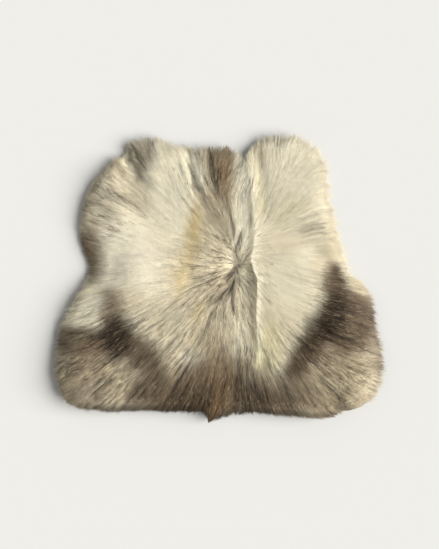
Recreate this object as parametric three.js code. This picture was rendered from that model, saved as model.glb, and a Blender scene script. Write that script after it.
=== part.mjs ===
// A reindeer hide folded once across, hair side out, lying on the plane z = 0.
// Millimetres. +X runs across the hide, +Y from the fold to the free end, +Z up.
// It is one closed body: an upper layer, a round fold along the -Y side, and a shorter lower
// layer that lies hair side down. The free end of the upper layer runs on past the lower one
// and comes down to the plane.

import * as THREE from 'three';

// --- Driving dimensions -----------------------------------------------------------------

const UPPER_PILE = 37; // skin and hair of the upper layer
const EDGE_PILE = 6; // what is left of it at a free edge
const LOWER_SKIN_TOP = 27; // height of the lower layer's skin, which lies on its pressed hair
const LAYER_GAP = 3.5; // between the two skins
const FOLD_GAP = 11; // the same, where the skin turns back
const FOLD_GAP_REACH = 40; // how far from the fold the gap stays open
const EDGE_ROUND = 55; // over which the hair side rounds down to a free edge
const LOWER_EDGE_ROUND = 24; // the same for the pressed hair underneath
const LOWER_LENGTH = 440; // of the lower layer, from the fold
const LOWER_CORNER_CUT = 130; // how much shorter it is at its two sides
const LOWER_INSET = 52; // how much narrower it is on each side, away from the fold
const LOWER_INSET_REACH = 200; // from the fold to where it is that much narrower
const DRAPE_OUTSIDE = 70; // the upper layer lies down on the plane this far past the lower one
const DRAPE_INSIDE = 80; // and starts to come down this far inside its edge

// Side edges of the upper layer, one row for each station from the fold to the free corners.
const SECTIONS = [
  { y: -320, left: -420, right: 436 },
  { y: -274, left: -438, right: 455 },
  { y: -198, left: -432, right: 455 },
  { y: -131, left: -421, right: 442 },
  { y: -63, left: -397, right: 430 },
  { y: -26, left: -368, right: 410 },
  { y: 12, left: -341, right: 374 },
  { y: 77, left: -355, right: 352 },
  { y: 142, left: -374, right: 334 },
  { y: 198, left: -364, right: 316 },
  { y: 250, left: -338, right: 316 },
  { y: 288, left: -304, right: 315 },
];

// The middle of the fold, as a share of the way across.
const FOLD_LINE = [
  { across: 0, y: -298 },
  { across: 0.05, y: -312 },
  { across: 0.12, y: -319 },
  { across: 0.3, y: -322 },
  { across: 0.5, y: -326 },
  { across: 0.7, y: -332 },
  { across: 0.85, y: -338 },
  { across: 0.94, y: -324 },
  { across: 1, y: -298 },
];

// The lobed free end of the upper layer, from its left corner to its right one.
const FREE_END = [
  { across: 0, y: 288 },
  { across: 0.06, y: 322 },
  { across: 0.12, y: 360 },
  { across: 0.22, y: 385 },
  { across: 0.33, y: 378 },
  { across: 0.39, y: 354 },
  { across: 0.48, y: 358 },
  { across: 0.565, y: 355 },
  { across: 0.62, y: 330 },
  { across: 0.69, y: 374 },
  { across: 0.79, y: 392 },
  { across: 0.9, y: 377 },
  { across: 0.97, y: 342 },
  { across: 1, y: 288 },
];

// Soft ridges (rise above zero) and troughs (below) of the hair side. Each follows its path and
// fades out over its half-width to both sides.
const RELIEF = [
  {
    name: 'spine ridge',
    halfWidth: 13,
    path: [
      { x: 72, y: 344, rise: 9 },
      { x: 104, y: 290, rise: 14 },
      { x: 109, y: 198, rise: 12 },
      { x: 109, y: 96, rise: 9 },
      { x: 90, y: 48, rise: 8 },
      { x: 115, y: -4, rise: 12 },
      { x: 112, y: -115, rise: 12 },
      { x: 117, y: -230, rise: 4 },
    ],
  },
  {
    name: 'valley right of the spine',
    halfWidth: 20,
    path: [
      { x: 122, y: 330, rise: -15 },
      { x: 140, y: 250, rise: -12 },
      { x: 144, y: 150, rise: -6 },
    ],
  },
  {
    name: 'valley left of the lower spine',
    halfWidth: 16,
    path: [
      { x: 86, y: 12, rise: -6 },
      { x: 84, y: -115, rise: -7 },
      { x: 92, y: -200, rise: -4 },
    ],
  },
  {
    name: 'crown of the middle lobe',
    halfWidth: 48,
    path: [
      { x: 8, y: 350, rise: 6 },
      { x: 20, y: 240, rise: 7 },
      { x: 50, y: 130, rise: 4 },
    ],
  },
  {
    name: 'step left of the middle lobe',
    halfWidth: 12,
    path: [
      { x: -66, y: 352, rise: -9 },
      { x: -56, y: 270, rise: -6 },
      { x: -30, y: 190, rise: -3 },
    ],
  },
  {
    name: 'whorl',
    halfWidth: 22,
    path: [
      { x: 56, y: 60, rise: -8 },
      { x: 40, y: 4, rise: -8 },
    ],
  },
  {
    name: 'left shoulder dip',
    halfWidth: 26,
    path: [
      { x: -262, y: 330, rise: -9 },
      { x: -200, y: 262, rise: -5 },
    ],
  },
  {
    name: 'left flank dip',
    halfWidth: 30,
    path: [
      { x: -362, y: 30, rise: -8 },
      { x: -270, y: 20, rise: -4 },
    ],
  },
  {
    name: 'lower left trough',
    halfWidth: 15,
    path: [
      { x: -338, y: -345, rise: -9 },
      { x: -262, y: -262, rise: -7 },
      { x: -205, y: -230, rise: -2 },
    ],
  },
  {
    name: 'lower right trough',
    halfWidth: 15,
    path: [
      { x: 352, y: -345, rise: -9 },
      { x: 300, y: -300, rise: -7 },
      { x: 262, y: -232, rise: -2 },
    ],
  },
  {
    name: 'right flank trough',
    halfWidth: 22,
    path: [
      { x: 350, y: 100, rise: -7 },
      { x: 252, y: 118, rise: -5 },
      { x: 190, y: 96, rise: -2 },
    ],
  },
];

// Slow unevenness of the whole hair side: waves by length, direction and height.
const WAVES = [
  { length: 230, turn: 0.4, height: 2.2 },
  { length: 165, turn: 2.1, height: 1.6 },
  { length: 118, turn: 1.2, height: 1.1 },
];

// Columns across the hide and rows along it. Both are closer together at the free edges, and the
// columns also at the spine ridge.
const EDGE_STEPS = [0, 0.004, 0.013, 0.028, 0.05];
const PLAIN_COLUMNS = 13;
const SPINE_COLUMNS = 8;
const SPINE_FROM = 0.57;
const SPINE_TO = 0.69;
const UPPER_ROWS = 22;
const LOBE_FADE = 3; // power by which the rows' lobed shape dies out behind the free end
const FOLD_ROWS = 8;
const LOWER_ROWS = 8;

const HAIR_COLOUR = 0xdcd2b8;
const HAIR_ROUGHNESS = 0.95;

// --- Helpers ----------------------------------------------------------------------------

const { clamp, lerp, smoothstep } = THREE.MathUtils;

/** Value of a column at a place between the rows of a table, on a smooth curve through them. */
function along(rows, key, column, at) {
  const last = rows.length - 2;
  let i = 0;
  while (i < last && rows[i + 1][key] < at) i += 1;
  const slope = (a, b) => (rows[b][column] - rows[a][column]) / (rows[b][key] - rows[a][key]);
  const step = rows[i + 1][key] - rows[i][key];
  const t = clamp((at - rows[i][key]) / step, 0, 1);
  const before = slope(Math.max(i - 1, 0), i + 1) * step;
  const after = slope(i, Math.min(i + 2, rows.length - 1)) * step;
  const start = rows[i][column];
  const end = rows[i + 1][column];
  const bend = (t - 1) * (t - 1) * t * before + (t - 1) * t * t * after;
  return start + (end - start) * t * t * (3 - 2 * t) + bend;
}

/** Soft minimum of two lengths, rounded over about the given reach. */
function softMin(a, b, reach) {
  const share = clamp(0.5 + (b - a) / (2 * reach), 0, 1);
  return lerp(b, a, share) - reach * share * (1 - share);
}

/** 0 at an edge, 1 at the given depth behind it, along a quarter of an ellipse. */
function rounded(depth, reach) {
  const left = 1 - clamp(depth / reach, 0, 1);
  return Math.sqrt(1 - left * left);
}

/** Height that one ridge or trough adds at a place. */
function reliefOf(fold, x, y) {
  let nearest = Infinity;
  let rise = 0;
  for (let i = 0; i + 1 < fold.path.length; i += 1) {
    const a = fold.path[i];
    const b = fold.path[i + 1];
    const run = (b.x - a.x) ** 2 + (b.y - a.y) ** 2;
    const t = clamp(((x - a.x) * (b.x - a.x) + (y - a.y) * (b.y - a.y)) / run, 0, 1);
    const away = Math.hypot(x - lerp(a.x, b.x, t), y - lerp(a.y, b.y, t));
    if (away < nearest) {
      nearest = away;
      rise = lerp(a.rise, b.rise, t);
    }
  }
  return rise * Math.exp(-((nearest / fold.halfWidth) ** 2));
}

/** Height that all ridges, troughs and waves add at a place. */
function relief(x, y) {
  const folds = RELIEF.reduce((sum, fold) => sum + reliefOf(fold, x, y), 0);
  const waves = WAVES.reduce((sum, wave) => {
    const way = x * Math.cos(wave.turn) + y * Math.sin(wave.turn);
    return sum + wave.height * Math.sin((2 * Math.PI * way) / wave.length);
  }, 0);
  return folds + waves;
}

// --- Outlines ---------------------------------------------------------------------------

const cornerY = SECTIONS[SECTIONS.length - 1].y;
const foldY = (across) => along(FOLD_LINE, 'across', 'y', across);
const freeEndY = (across) => along(FREE_END, 'across', 'y', across);
const sideX = (y, side) => along(SECTIONS, 'y', side, y);

/** Plan position on the upper layer, from the fold (share 0) to its free end (share 1). */
function upperPlan(across, share) {
  const station = lerp(SECTIONS[0].y, cornerY, share);
  const x = lerp(sideX(station, 'left'), sideX(station, 'right'), across);
  const lobe = (freeEndY(across) - cornerY) * share ** LOBE_FADE;
  return new THREE.Vector2(x, lerp(foldY(across), cornerY, share) + lobe);
}

/** Side edge of the lower layer at a station, which is the upper one's moved inwards. */
function lowerSideX(y, side) {
  const inset = LOWER_INSET * smoothstep(y - SECTIONS[0].y, 0, LOWER_INSET_REACH);
  return sideX(y, side) + (side === 'left' ? inset : -inset);
}

/** Where the lower layer ends, rounded off towards its sides. */
function lowerEndY(across) {
  const fromMiddle = Math.abs(2 * clamp(across, 0, 1) - 1);
  return foldY(0.5) + LOWER_LENGTH - LOWER_CORNER_CUT * fromMiddle ** 4;
}

/** Plan position on the lower layer, from the fold (share 0) to its end (share 1). */
function lowerPlan(across, share) {
  const length = (lowerEndY(across) - foldY(across)) * share;
  const station = SECTIONS[0].y + length;
  const x = lerp(lowerSideX(station, 'left'), lowerSideX(station, 'right'), across);
  return new THREE.Vector2(x, foldY(across) + length);
}

// --- Heights ----------------------------------------------------------------------------

/** How far inside the lower layer's outline a place is. Outside it, the length is below zero. */
function insideLower(x, y) {
  const station = Math.max(y, SECTIONS[0].y);
  const left = lowerSideX(station, 'left');
  const right = lowerSideX(station, 'right');
  const end = lowerEndY((x - left) / (right - left)) - y;
  return softMin(softMin(x - left, right - x, DRAPE_INSIDE), end, DRAPE_INSIDE);
}

/** Height of the upper layer's skin, which drapes over the lower layer. */
function upperSkin(x, y) {
  const lying = LOWER_SKIN_TOP + LAYER_GAP;
  return lying * smoothstep(insideLower(x, y), -DRAPE_OUTSIDE, DRAPE_INSIDE);
}

/** Extra gap between the skins where they near the fold, shared by both layers. */
function foldGap(across, y) {
  const middle = rounded(Math.min(across, 1 - across), 0.12);
  const near = Math.exp(-(((y - foldY(across)) / FOLD_GAP_REACH) ** 2));
  return (FOLD_GAP - LAYER_GAP) * middle * near;
}

/** Thickness of the upper layer's hair and skin. */
function upperPile(across, share, { x, y }) {
  const station = lerp(SECTIONS[0].y, cornerY, share);
  const left = x - sideX(station, 'left');
  const right = sideX(station, 'right') - x;
  const end = freeEndY(across) - y;
  const edges = rounded(left, EDGE_ROUND) * rounded(right, EDGE_ROUND) * rounded(end, EDGE_ROUND);
  return EDGE_PILE + (UPPER_PILE - EDGE_PILE + relief(x, y)) * edges;
}

/** Thickness of the lower layer, whose hair side is pressed flat on the plane. */
function lowerPile(across, share, { x, y }, skin) {
  const station = SECTIONS[0].y + y - foldY(across);
  const left = x - lowerSideX(station, 'left');
  const right = lowerSideX(station, 'right') - x;
  const end = (1 - share) * (lowerEndY(across) - foldY(across));
  const reach = LOWER_EDGE_ROUND;
  const edges = rounded(left, reach) * rounded(right, reach) * rounded(end, reach);
  return Math.min(skin, EDGE_PILE + LOWER_SKIN_TOP * edges);
}

// --- Rows of the two faces --------------------------------------------------------------

/** Skin and hair point of the upper layer. */
function upperPoint(across, share) {
  const plan = upperPlan(across, share);
  const skin = upperSkin(plan.x, plan.y) + foldGap(across, plan.y) / 2;
  const hair = skin + upperPile(across, share, plan);
  return [new THREE.Vector3(plan.x, plan.y, skin), new THREE.Vector3(plan.x, plan.y, hair)];
}

/** Skin and hair point of the lower layer. */
function lowerPoint(across, share) {
  const plan = lowerPlan(across, share);
  const skin = upperSkin(plan.x, plan.y) - LAYER_GAP - foldGap(across, plan.y) / 2;
  const hair = skin - lowerPile(across, share, plan, skin);
  return [new THREE.Vector3(plan.x, plan.y, skin), new THREE.Vector3(plan.x, plan.y, hair)];
}

/** Skin and hair point of the fold, turned by an angle from the upper layer to the lower one. */
function foldPoint(across, angle) {
  const [upperSkinPoint, upperHair] = upperPoint(across, 0);
  const [lowerSkinPoint, lowerHair] = lowerPoint(across, 0);
  const middle = upperSkinPoint.clone().lerp(lowerSkinPoint, 0.5);
  const radius = (upperSkinPoint.z - lowerSkinPoint.z) / 2;
  const turned = smoothstep(angle, 0, Math.PI);
  const pile = lerp(upperHair.z - upperSkinPoint.z, lowerSkinPoint.z - lowerHair.z, turned);
  const at = (reach) => new THREE.Vector3(
    middle.x,
    middle.y - reach * Math.sin(angle),
    middle.z + reach * Math.cos(angle),
  );
  return [at(radius), at(radius + pile)];
}

/** Places across the hide, from its left edge to its right one. */
function columns() {
  const edge = EDGE_STEPS[EDGE_STEPS.length - 1];
  const places = [...EDGE_STEPS];
  const spread = (from, to, count) => {
    for (let i = 1; i <= count; i += 1) places.push(lerp(from, to, i / count));
  };
  const rightColumns = Math.round((PLAIN_COLUMNS * (1 - edge - SPINE_TO)) / (SPINE_FROM - edge));
  spread(edge, SPINE_FROM, PLAIN_COLUMNS);
  spread(SPINE_FROM, SPINE_TO, SPINE_COLUMNS);
  spread(SPINE_TO, 1 - edge, rightColumns);
  const rightEdge = EDGE_STEPS.slice(0, -1).reverse();
  return [...places, ...rightEdge.map((step) => 1 - step)];
}

/** Shares of a layer from its free end (1) to the fold (0), the fold's own row left out. */
function layerShares(count) {
  const edge = EDGE_STEPS[EDGE_STEPS.length - 1];
  const plain = Array.from({ length: count - 1 }, (_, i) => lerp(1 - edge, 0, (i + 1) / count));
  return [...EDGE_STEPS.map((step) => 1 - step), ...plain];
}

/** All rows from the upper layer's free end, round the fold, to the lower layer's end. */
function hideRows() {
  const across = columns();
  const upper = layerShares(UPPER_ROWS).map((share) => across.map((u) => upperPoint(u, share)));
  const fold = Array.from({ length: FOLD_ROWS + 1 }, (_, i) => {
    const angle = (Math.PI * i) / FOLD_ROWS;
    return across.map((u) => foldPoint(u, angle));
  });
  const lower = layerShares(LOWER_ROWS).map((share) => across.map((u) => lowerPoint(u, share)));
  return [...upper, ...fold, ...lower.reverse()];
}

// --- The body ---------------------------------------------------------------------------

/** One closed geometry: the hair side, the skin side, and the narrow strip round all edges. */
function hideGeometry() {
  const rows = hideRows();
  const width = rows[0].length;
  const lastRow = rows.length - 1;
  const lastColumn = width - 1;
  const positions = rows.flatMap((row) => row.flatMap(([skin, hair]) => [...skin, ...hair]));
  const skinAt = (row, column) => 2 * (row * width + column);
  const hairAt = (row, column) => skinAt(row, column) + 1;
  const faces = [];
  const quad = (a, b, c, d) => faces.push(a, b, c, a, c, d);

  for (let r = 0; r < lastRow; r += 1) {
    for (let c = 0; c < lastColumn; c += 1) {
      quad(hairAt(r, c), hairAt(r + 1, c), hairAt(r + 1, c + 1), hairAt(r, c + 1));
      quad(skinAt(r, c), skinAt(r, c + 1), skinAt(r + 1, c + 1), skinAt(r + 1, c));
    }
    quad(skinAt(r, 0), skinAt(r + 1, 0), hairAt(r + 1, 0), hairAt(r, 0));
    const c = lastColumn;
    quad(skinAt(r, c), hairAt(r, c), hairAt(r + 1, c), skinAt(r + 1, c));
  }
  for (let c = 0; c < lastColumn; c += 1) {
    quad(skinAt(0, c), hairAt(0, c), hairAt(0, c + 1), skinAt(0, c + 1));
    quad(skinAt(lastRow, c), skinAt(lastRow, c + 1), hairAt(lastRow, c + 1), hairAt(lastRow, c));
  }

  const geometry = new THREE.BufferGeometry();
  geometry.setAttribute('position', new THREE.Float32BufferAttribute(positions, 3));
  geometry.setIndex(faces);
  geometry.computeVertexNormals();
  return geometry;
}

const material = new THREE.MeshStandardMaterial({
  color: HAIR_COLOUR,
  roughness: HAIR_ROUGHNESS,
  metalness: 0,
});

const geometry = hideGeometry();
geometry.computeBoundingBox();
const middle = geometry.boundingBox.getCenter(new THREE.Vector3());

const hide = new THREE.Mesh(geometry, material);
hide.name = 'hide';
hide.position.set(-middle.x, -middle.y, 0);

const group = new THREE.Group();
group.add(hide);

export default group;
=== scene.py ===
"""The looks of a reindeer hide that is folded once across, hair outside, and lies on a pale floor.

Metres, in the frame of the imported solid: +X across the hide, +Y from the fold to the free end, +Z up.
The hide is a tanned skin, a woolly undercoat on it and a coat of guard hair in locks.
"""

import sys
import logging
import math
from collections.abc import Callable, Iterator
from dataclasses import dataclass, field
from enum import Enum

import bmesh
import bpy
import numpy as np
from mathutils.kdtree import KDTree
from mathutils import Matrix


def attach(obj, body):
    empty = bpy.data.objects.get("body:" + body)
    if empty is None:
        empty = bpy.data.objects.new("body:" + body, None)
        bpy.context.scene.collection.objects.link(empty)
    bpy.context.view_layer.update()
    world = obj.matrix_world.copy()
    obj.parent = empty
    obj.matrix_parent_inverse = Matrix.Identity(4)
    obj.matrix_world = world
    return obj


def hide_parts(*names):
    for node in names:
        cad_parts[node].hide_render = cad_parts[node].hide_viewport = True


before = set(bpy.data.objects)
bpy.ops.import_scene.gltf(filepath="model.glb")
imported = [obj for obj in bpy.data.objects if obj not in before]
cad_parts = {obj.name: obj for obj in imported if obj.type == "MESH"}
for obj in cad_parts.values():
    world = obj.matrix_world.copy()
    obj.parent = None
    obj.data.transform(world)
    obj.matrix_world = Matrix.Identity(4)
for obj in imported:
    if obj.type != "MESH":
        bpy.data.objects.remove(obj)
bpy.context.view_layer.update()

NODE = "hide"
BODY = "root"
SEED = 1876

log = logging.getLogger("hide")


# --- Hair colours ------------------------------------------------------------------------------------


class Hair(Enum):
    """The colours of the coat, as sRGB bytes."""

    WHITE = (242, 234, 212)
    IVORY = (232, 225, 201)
    CREAM = (226, 216, 188)
    STRAW = (222, 213, 174)
    SAND = (200, 187, 156)
    OCHRE = (203, 179, 118)
    BEIGE = (168, 153, 125)
    ASH = (176, 169, 148)
    OLIVE = (146, 135, 100)
    STONE = (138, 129, 110)
    TAN = (118, 101, 78)
    RUST = (138, 106, 66)
    BROWN = (92, 76, 57)
    UMBER = (54, 41, 27)
    SLATE = (72, 62, 52)

    def linear(self) -> np.ndarray:
        """The colour as linear RGB."""
        return srgb_to_linear(self.value)


def srgb_to_linear(bytes_rgb: tuple[int, int, int]) -> np.ndarray:
    """Turns an sRGB colour into a linear one.

    Args:
        bytes_rgb: red, green and blue from 0 to 255.

    Returns:
        Three linear values from 0 to 1.
    """
    share = np.asarray(bytes_rgb, float) / 255
    return np.where(share <= 0.04045, share / 12.92, ((share + 0.055) / 1.055) ** 2.4)


# --- Rows of the tables ------------------------------------------------------------------------------


@dataclass(frozen=True)
class Station:
    """Side edges of the upper layer at one place along it."""

    y: float
    left: float
    right: float


@dataclass(frozen=True)
class Knot:
    """A point of an edge that runs across the hide, at a share of the way across."""

    across: float
    y: float


@dataclass(frozen=True)
class Crease:
    """A soft ridge (rise above zero) or trough of the hair side, along points of x, y and rise."""

    name: str
    half_width: float
    path: tuple[tuple[float, float, float], ...]


@dataclass(frozen=True)
class Wave:
    """Slow unevenness of the hair side."""

    length: float
    turn: float
    height: float


@dataclass(frozen=True)
class Guide:
    """The way that the hair lies at a place: degrees from +X, turning towards +Y."""

    x: float
    y: float
    degrees: float
    reach: float = 0.045


@dataclass(frozen=True)
class Patch:
    """A soft oval of one hair colour, which in places also paints light or shade, as noted at them. Its
    long reach is turned by degrees from +X.
    """

    x: float
    y: float
    long: float
    short: float
    degrees: float
    hair: Hair
    strength: float = 0.9
    softness: float = 0.45


@dataclass(frozen=True)
class Parting:
    """A line where the coat opens or is pressed in, with a colour laid along it and a groove of this
    depth. Most partings are darker hair; some paint shade or highlight, as noted at them.
    """

    name: str
    path: tuple[tuple[float, float], ...]
    half_width: float
    hair: Hair
    strength: float
    depth: float = 0.0


@dataclass(frozen=True)
class Spot:
    """A soft round place where a measure of the coat differs."""

    x: float
    y: float
    reach: float
    value: float


def metres(value: tuple | str | float) -> tuple | str | float:
    """Turns millimetres into metres, also inside tuples. Names stay as they are.

    Args:
        value: a measure, a name or a tuple of them.

    Returns:
        The same in metres.
    """
    if isinstance(value, tuple):
        return tuple(metres(each) for each in value)
    return value if isinstance(value, str) else value / 1000


def table(kind: type, lengths: int, *rows: tuple) -> tuple:
    """Makes the rows of a table.

    Args:
        kind: the rows' class.
        lengths: how many of the first columns are given in millimetres, apart from names.
        rows: the rows' values.

    Returns:
        The rows, in metres.
    """
    return tuple(kind(*metres(row[:lengths]), *row[lengths:]) for row in rows)


# --- The form of the folded hide ---------------------------------------------------------------------


def smoothstep(value: np.ndarray, low: float, high: float) -> np.ndarray:
    """0 below low, 1 above high, and a smooth rise between them."""
    share = np.clip((value - low) / (high - low), 0, 1)
    return share * share * (3 - 2 * share)


def rounded(depth: np.ndarray, reach: float) -> np.ndarray:
    """0 at an edge and 1 at the depth reach behind it, along a quarter of an ellipse."""
    left = 1 - np.clip(depth / reach, 0, 1)
    return np.sqrt(1 - left * left)


def soft_min(a: np.ndarray, b: np.ndarray, reach: float) -> np.ndarray:
    """The smaller of two lengths, rounded over about reach."""
    share = np.clip(0.5 + (b - a) / (2 * reach), 0, 1)
    return b + (a - b) * share - reach * share * (1 - share)


def along(rows: tuple, key: str, column: str, at: np.ndarray) -> np.ndarray:
    """Reads a column of a table between its rows, on a smooth curve through them.

    Args:
        rows: the table, in rising order of key.
        key: the column that places are given in.
        column: the column that is read.
        at: the places.

    Returns:
        One value for each place.
    """
    keys = np.array([getattr(row, key) for row in rows])
    values = np.array([getattr(row, column) for row in rows])
    at = np.clip(np.asarray(at, float), keys[0], keys[-1])
    i = np.clip(np.searchsorted(keys, at, side="left") - 1, 0, len(keys) - 2)
    before, after = np.maximum(i - 1, 0), np.minimum(i + 2, len(keys) - 1)
    step = keys[i + 1] - keys[i]
    t = (at - keys[i]) / step
    rise_in = (values[i + 1] - values[before]) / (keys[i + 1] - keys[before]) * step
    rise_out = (values[after] - values[i]) / (keys[after] - keys[i]) * step
    bend = (t - 1) ** 2 * t * rise_in + (t - 1) * t * t * rise_out
    return values[i] + (values[i + 1] - values[i]) * t * t * (3 - 2 * t) + bend


def to_pieces(path: tuple, x: np.ndarray, y: np.ndarray) -> Iterator[tuple[np.ndarray, np.ndarray]]:
    """Measures from places to each straight piece of a path.

    Args:
        path: the path's points, each starting with x and y.
        x: places across.
        y: places along.

    Yields:
        For each piece, the places' distances from it and the shares of it at which they are nearest.
    """
    for (ax, ay, *_), (bx, by, *_) in zip(path, path[1:]):
        run = (bx - ax) ** 2 + (by - ay) ** 2
        share = np.clip(((x - ax) * (bx - ax) + (y - ay) * (by - ay)) / run, 0, 1)
        yield np.hypot(x - ax - (bx - ax) * share, y - ay - (by - ay) * share), share


def distance_to(path: tuple, x: np.ndarray, y: np.ndarray) -> np.ndarray:
    """Distances of places from a path.

    Args:
        path: the path's points, each starting with x and y.
        x: places across.
        y: places along.

    Returns:
        One distance for each place.
    """
    shortest = np.full(len(x), np.inf)
    for away, _ in to_pieces(path, x, y):
        shortest = np.minimum(shortest, away)
    return shortest


@dataclass
class HideForm:
    """Where the skin and the outer hair of the folded hide lie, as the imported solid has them.

    A place on the hide is a share across it, from 0 at the left edge to 1 at the right one, and a run
    along it: 0 to 1 from the upper layer's free end to the fold, 1 to 2 round the fold, and 2 to 3
    from the fold to the lower layer's end.
    """

    upper_pile: float = 0.037
    edge_pile: float = 0.006
    lower_skin_top: float = 0.027
    layer_gap: float = 0.0035
    fold_gap: float = 0.011
    fold_gap_reach: float = 0.040
    fold_gap_ends: float = 0.12
    edge_round: float = 0.055
    lower_edge_round: float = 0.024
    lower_length: float = 0.440
    lower_corner_cut: float = 0.130
    lower_inset: float = 0.052
    lower_inset_reach: float = 0.200
    drape_outside: float = 0.070
    drape_inside: float = 0.080
    lobe_fade: float = 3.0
    sections: tuple[Station, ...] = table(
        Station, 3,
        (-320, -420, 436), (-274, -438, 455), (-198, -432, 455), (-131, -421, 442), (-63, -397, 430),
        (-26, -368, 410), (12, -341, 374), (77, -355, 352), (142, -374, 334), (198, -364, 316),
        (250, -338, 316), (288, -304, 315),
    )
    fold_line: tuple[Knot, ...] = (
        Knot(0, -0.298), Knot(0.05, -0.312), Knot(0.12, -0.319), Knot(0.3, -0.322), Knot(0.5, -0.326),
        Knot(0.7, -0.332), Knot(0.85, -0.338), Knot(0.94, -0.324), Knot(1, -0.298),
    )
    free_end: tuple[Knot, ...] = (
        Knot(0, 0.288), Knot(0.06, 0.322), Knot(0.12, 0.360), Knot(0.22, 0.385), Knot(0.33, 0.378),
        Knot(0.39, 0.354), Knot(0.48, 0.358), Knot(0.565, 0.355), Knot(0.62, 0.330), Knot(0.69, 0.374),
        Knot(0.79, 0.392), Knot(0.9, 0.377), Knot(0.97, 0.342), Knot(1, 0.288),
    )
    creases: tuple[Crease, ...] = table(
        Crease, 3,
        ("spine ridge", 15, ((80, 336, 6), (102, 290, 8), (108, 198, 6), (110, 110, 5), (98, 46, 4),
            (114, -4, 6), (112, -115, 6), (117, -230, 2))),
        ("crest of the spine ridge", 7, ((88, 322, 1), (103, 214, 2), (110, 117, 2), (99, 48, 4),
            (104, 21, 4), (115.5, -2, 4), (113.6, -56, 4), (112, -99, 4), (115, -192, 3),
            (121, -229, 1))),
        ("valley right of the spine", 18, ((116, 335, -10), (128, 260, -7), (136, 180, -3))),
        ("valley left of the lower spine", 16, ((86, 12, -3), (84, -115, -3), (92, -200, -2))),
        ("crown of the middle lobe", 48, ((8, 350, 6), (20, 240, 7), (50, 130, 4))),
        ("step left of the middle lobe", 12, ((-66, 352, -9), (-56, 270, -6), (-30, 190, -3))),
        ("whorl", 22, ((56, 60, -8), (40, 4, -8))),
        ("left shoulder dip", 18, ((-248, 345, -14), (-196, 262, -6))),
        ("left flank dip", 30, ((-362, 30, -8), (-270, 20, -4))),
        ("lower left trough", 15, ((-338, -345, -9), (-262, -262, -7), (-205, -230, -2))),
        ("lower right trough", 15, ((352, -345, -9), (300, -300, -7), (262, -232, -2))),
        ("right flank trough", 22, ((350, 100, -7), (252, 118, -5), (190, 96, -2))),
    )
    waves: tuple[Wave, ...] = (
        Wave(0.230, 0.4, 0.0022), Wave(0.165, 2.1, 0.0016), Wave(0.118, 1.2, 0.0011),
    )
    shift: np.ndarray = field(default_factory=lambda: np.zeros(3))

    def __post_init__(self) -> None:
        """Puts the middle of the form's box over the origin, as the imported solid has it."""
        across, run = np.meshgrid(np.linspace(0, 1, 201), np.linspace(0, 3, 241))
        _, hair = self.at(across.ravel(), run.ravel())
        middle = (hair.min(0) + hair.max(0)) / 2
        self.shift = np.array([-middle[0], -middle[1], 0.0])

    def side(self, y: np.ndarray, name: str) -> np.ndarray:
        """X of the upper layer's left or right edge at a station."""
        return along(self.sections, "y", name, y)

    def fold_y(self, across: np.ndarray) -> np.ndarray:
        """Y of the middle of the fold."""
        return along(self.fold_line, "across", "y", across)

    def free_end_y(self, across: np.ndarray) -> np.ndarray:
        """Y of the upper layer's free end."""
        return along(self.free_end, "across", "y", across)

    def relief(self, x: np.ndarray, y: np.ndarray) -> np.ndarray:
        """Height that the creases and waves add to the hair side.

        Args:
            x: places across, before the shift.
            y: places along, before the shift.

        Returns:
            A height for each place.
        """
        total = np.zeros_like(x)
        for crease in self.creases:
            shortest = np.full_like(x, np.inf)
            rise = np.zeros_like(x)
            rises = [place[2] for place in crease.path]
            for (away, share), start, end in zip(to_pieces(crease.path, x, y), rises, rises[1:]):
                closer = away < shortest
                shortest = np.where(closer, away, shortest)
                rise = np.where(closer, start + (end - start) * share, rise)
            total += rise * np.exp(-((shortest / crease.half_width) ** 2))
        for wave in self.waves:
            way = x * math.cos(wave.turn) + y * math.sin(wave.turn)
            total += wave.height * np.sin(2 * math.pi * way / wave.length)
        return total

    def lower_side(self, y: np.ndarray, name: str) -> np.ndarray:
        """X of the lower layer's left or right edge, which is the upper one's moved inwards."""
        inset = self.lower_inset * smoothstep(y - self.sections[0].y, 0, self.lower_inset_reach)
        return self.side(y, name) + (inset if name == "left" else -inset)

    def lower_end_y(self, across: np.ndarray) -> np.ndarray:
        """Y at which the lower layer ends, rounded off towards its sides.

        Args:
            across: shares of the way across.

        Returns:
            One value for each place.
        """
        from_middle = np.abs(2 * np.clip(across, 0, 1) - 1)
        reach = self.fold_y(0.5) + self.lower_length
        return reach - self.lower_corner_cut * from_middle**4

    def upper_skin(self, x: np.ndarray, y: np.ndarray) -> np.ndarray:
        """Height of the upper layer's skin, which drapes over the lower layer onto the floor.

        Args:
            x: places across, before the shift.
            y: places along, before the shift.

        Returns:
            One height for each place.
        """
        station = np.maximum(y, self.sections[0].y)
        left, right = self.lower_side(station, "left"), self.lower_side(station, "right")
        end = self.lower_end_y((x - left) / (right - left)) - y
        inside = soft_min(soft_min(x - left, right - x, self.drape_inside), end, self.drape_inside)
        lying = self.lower_skin_top + self.layer_gap
        return lying * smoothstep(inside, -self.drape_outside, self.drape_inside)

    def extra_gap(self, across: np.ndarray, y: np.ndarray) -> np.ndarray:
        """How much further apart the two skins are near the fold.

        Args:
            across: shares of the way across.
            y: places along, before the shift.

        Returns:
            One distance for each place.
        """
        ends = rounded(np.minimum(across, 1 - across), self.fold_gap_ends)
        near = np.exp(-(((y - self.fold_y(across)) / self.fold_gap_reach) ** 2))
        return (self.fold_gap - self.layer_gap) * ends * near

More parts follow.
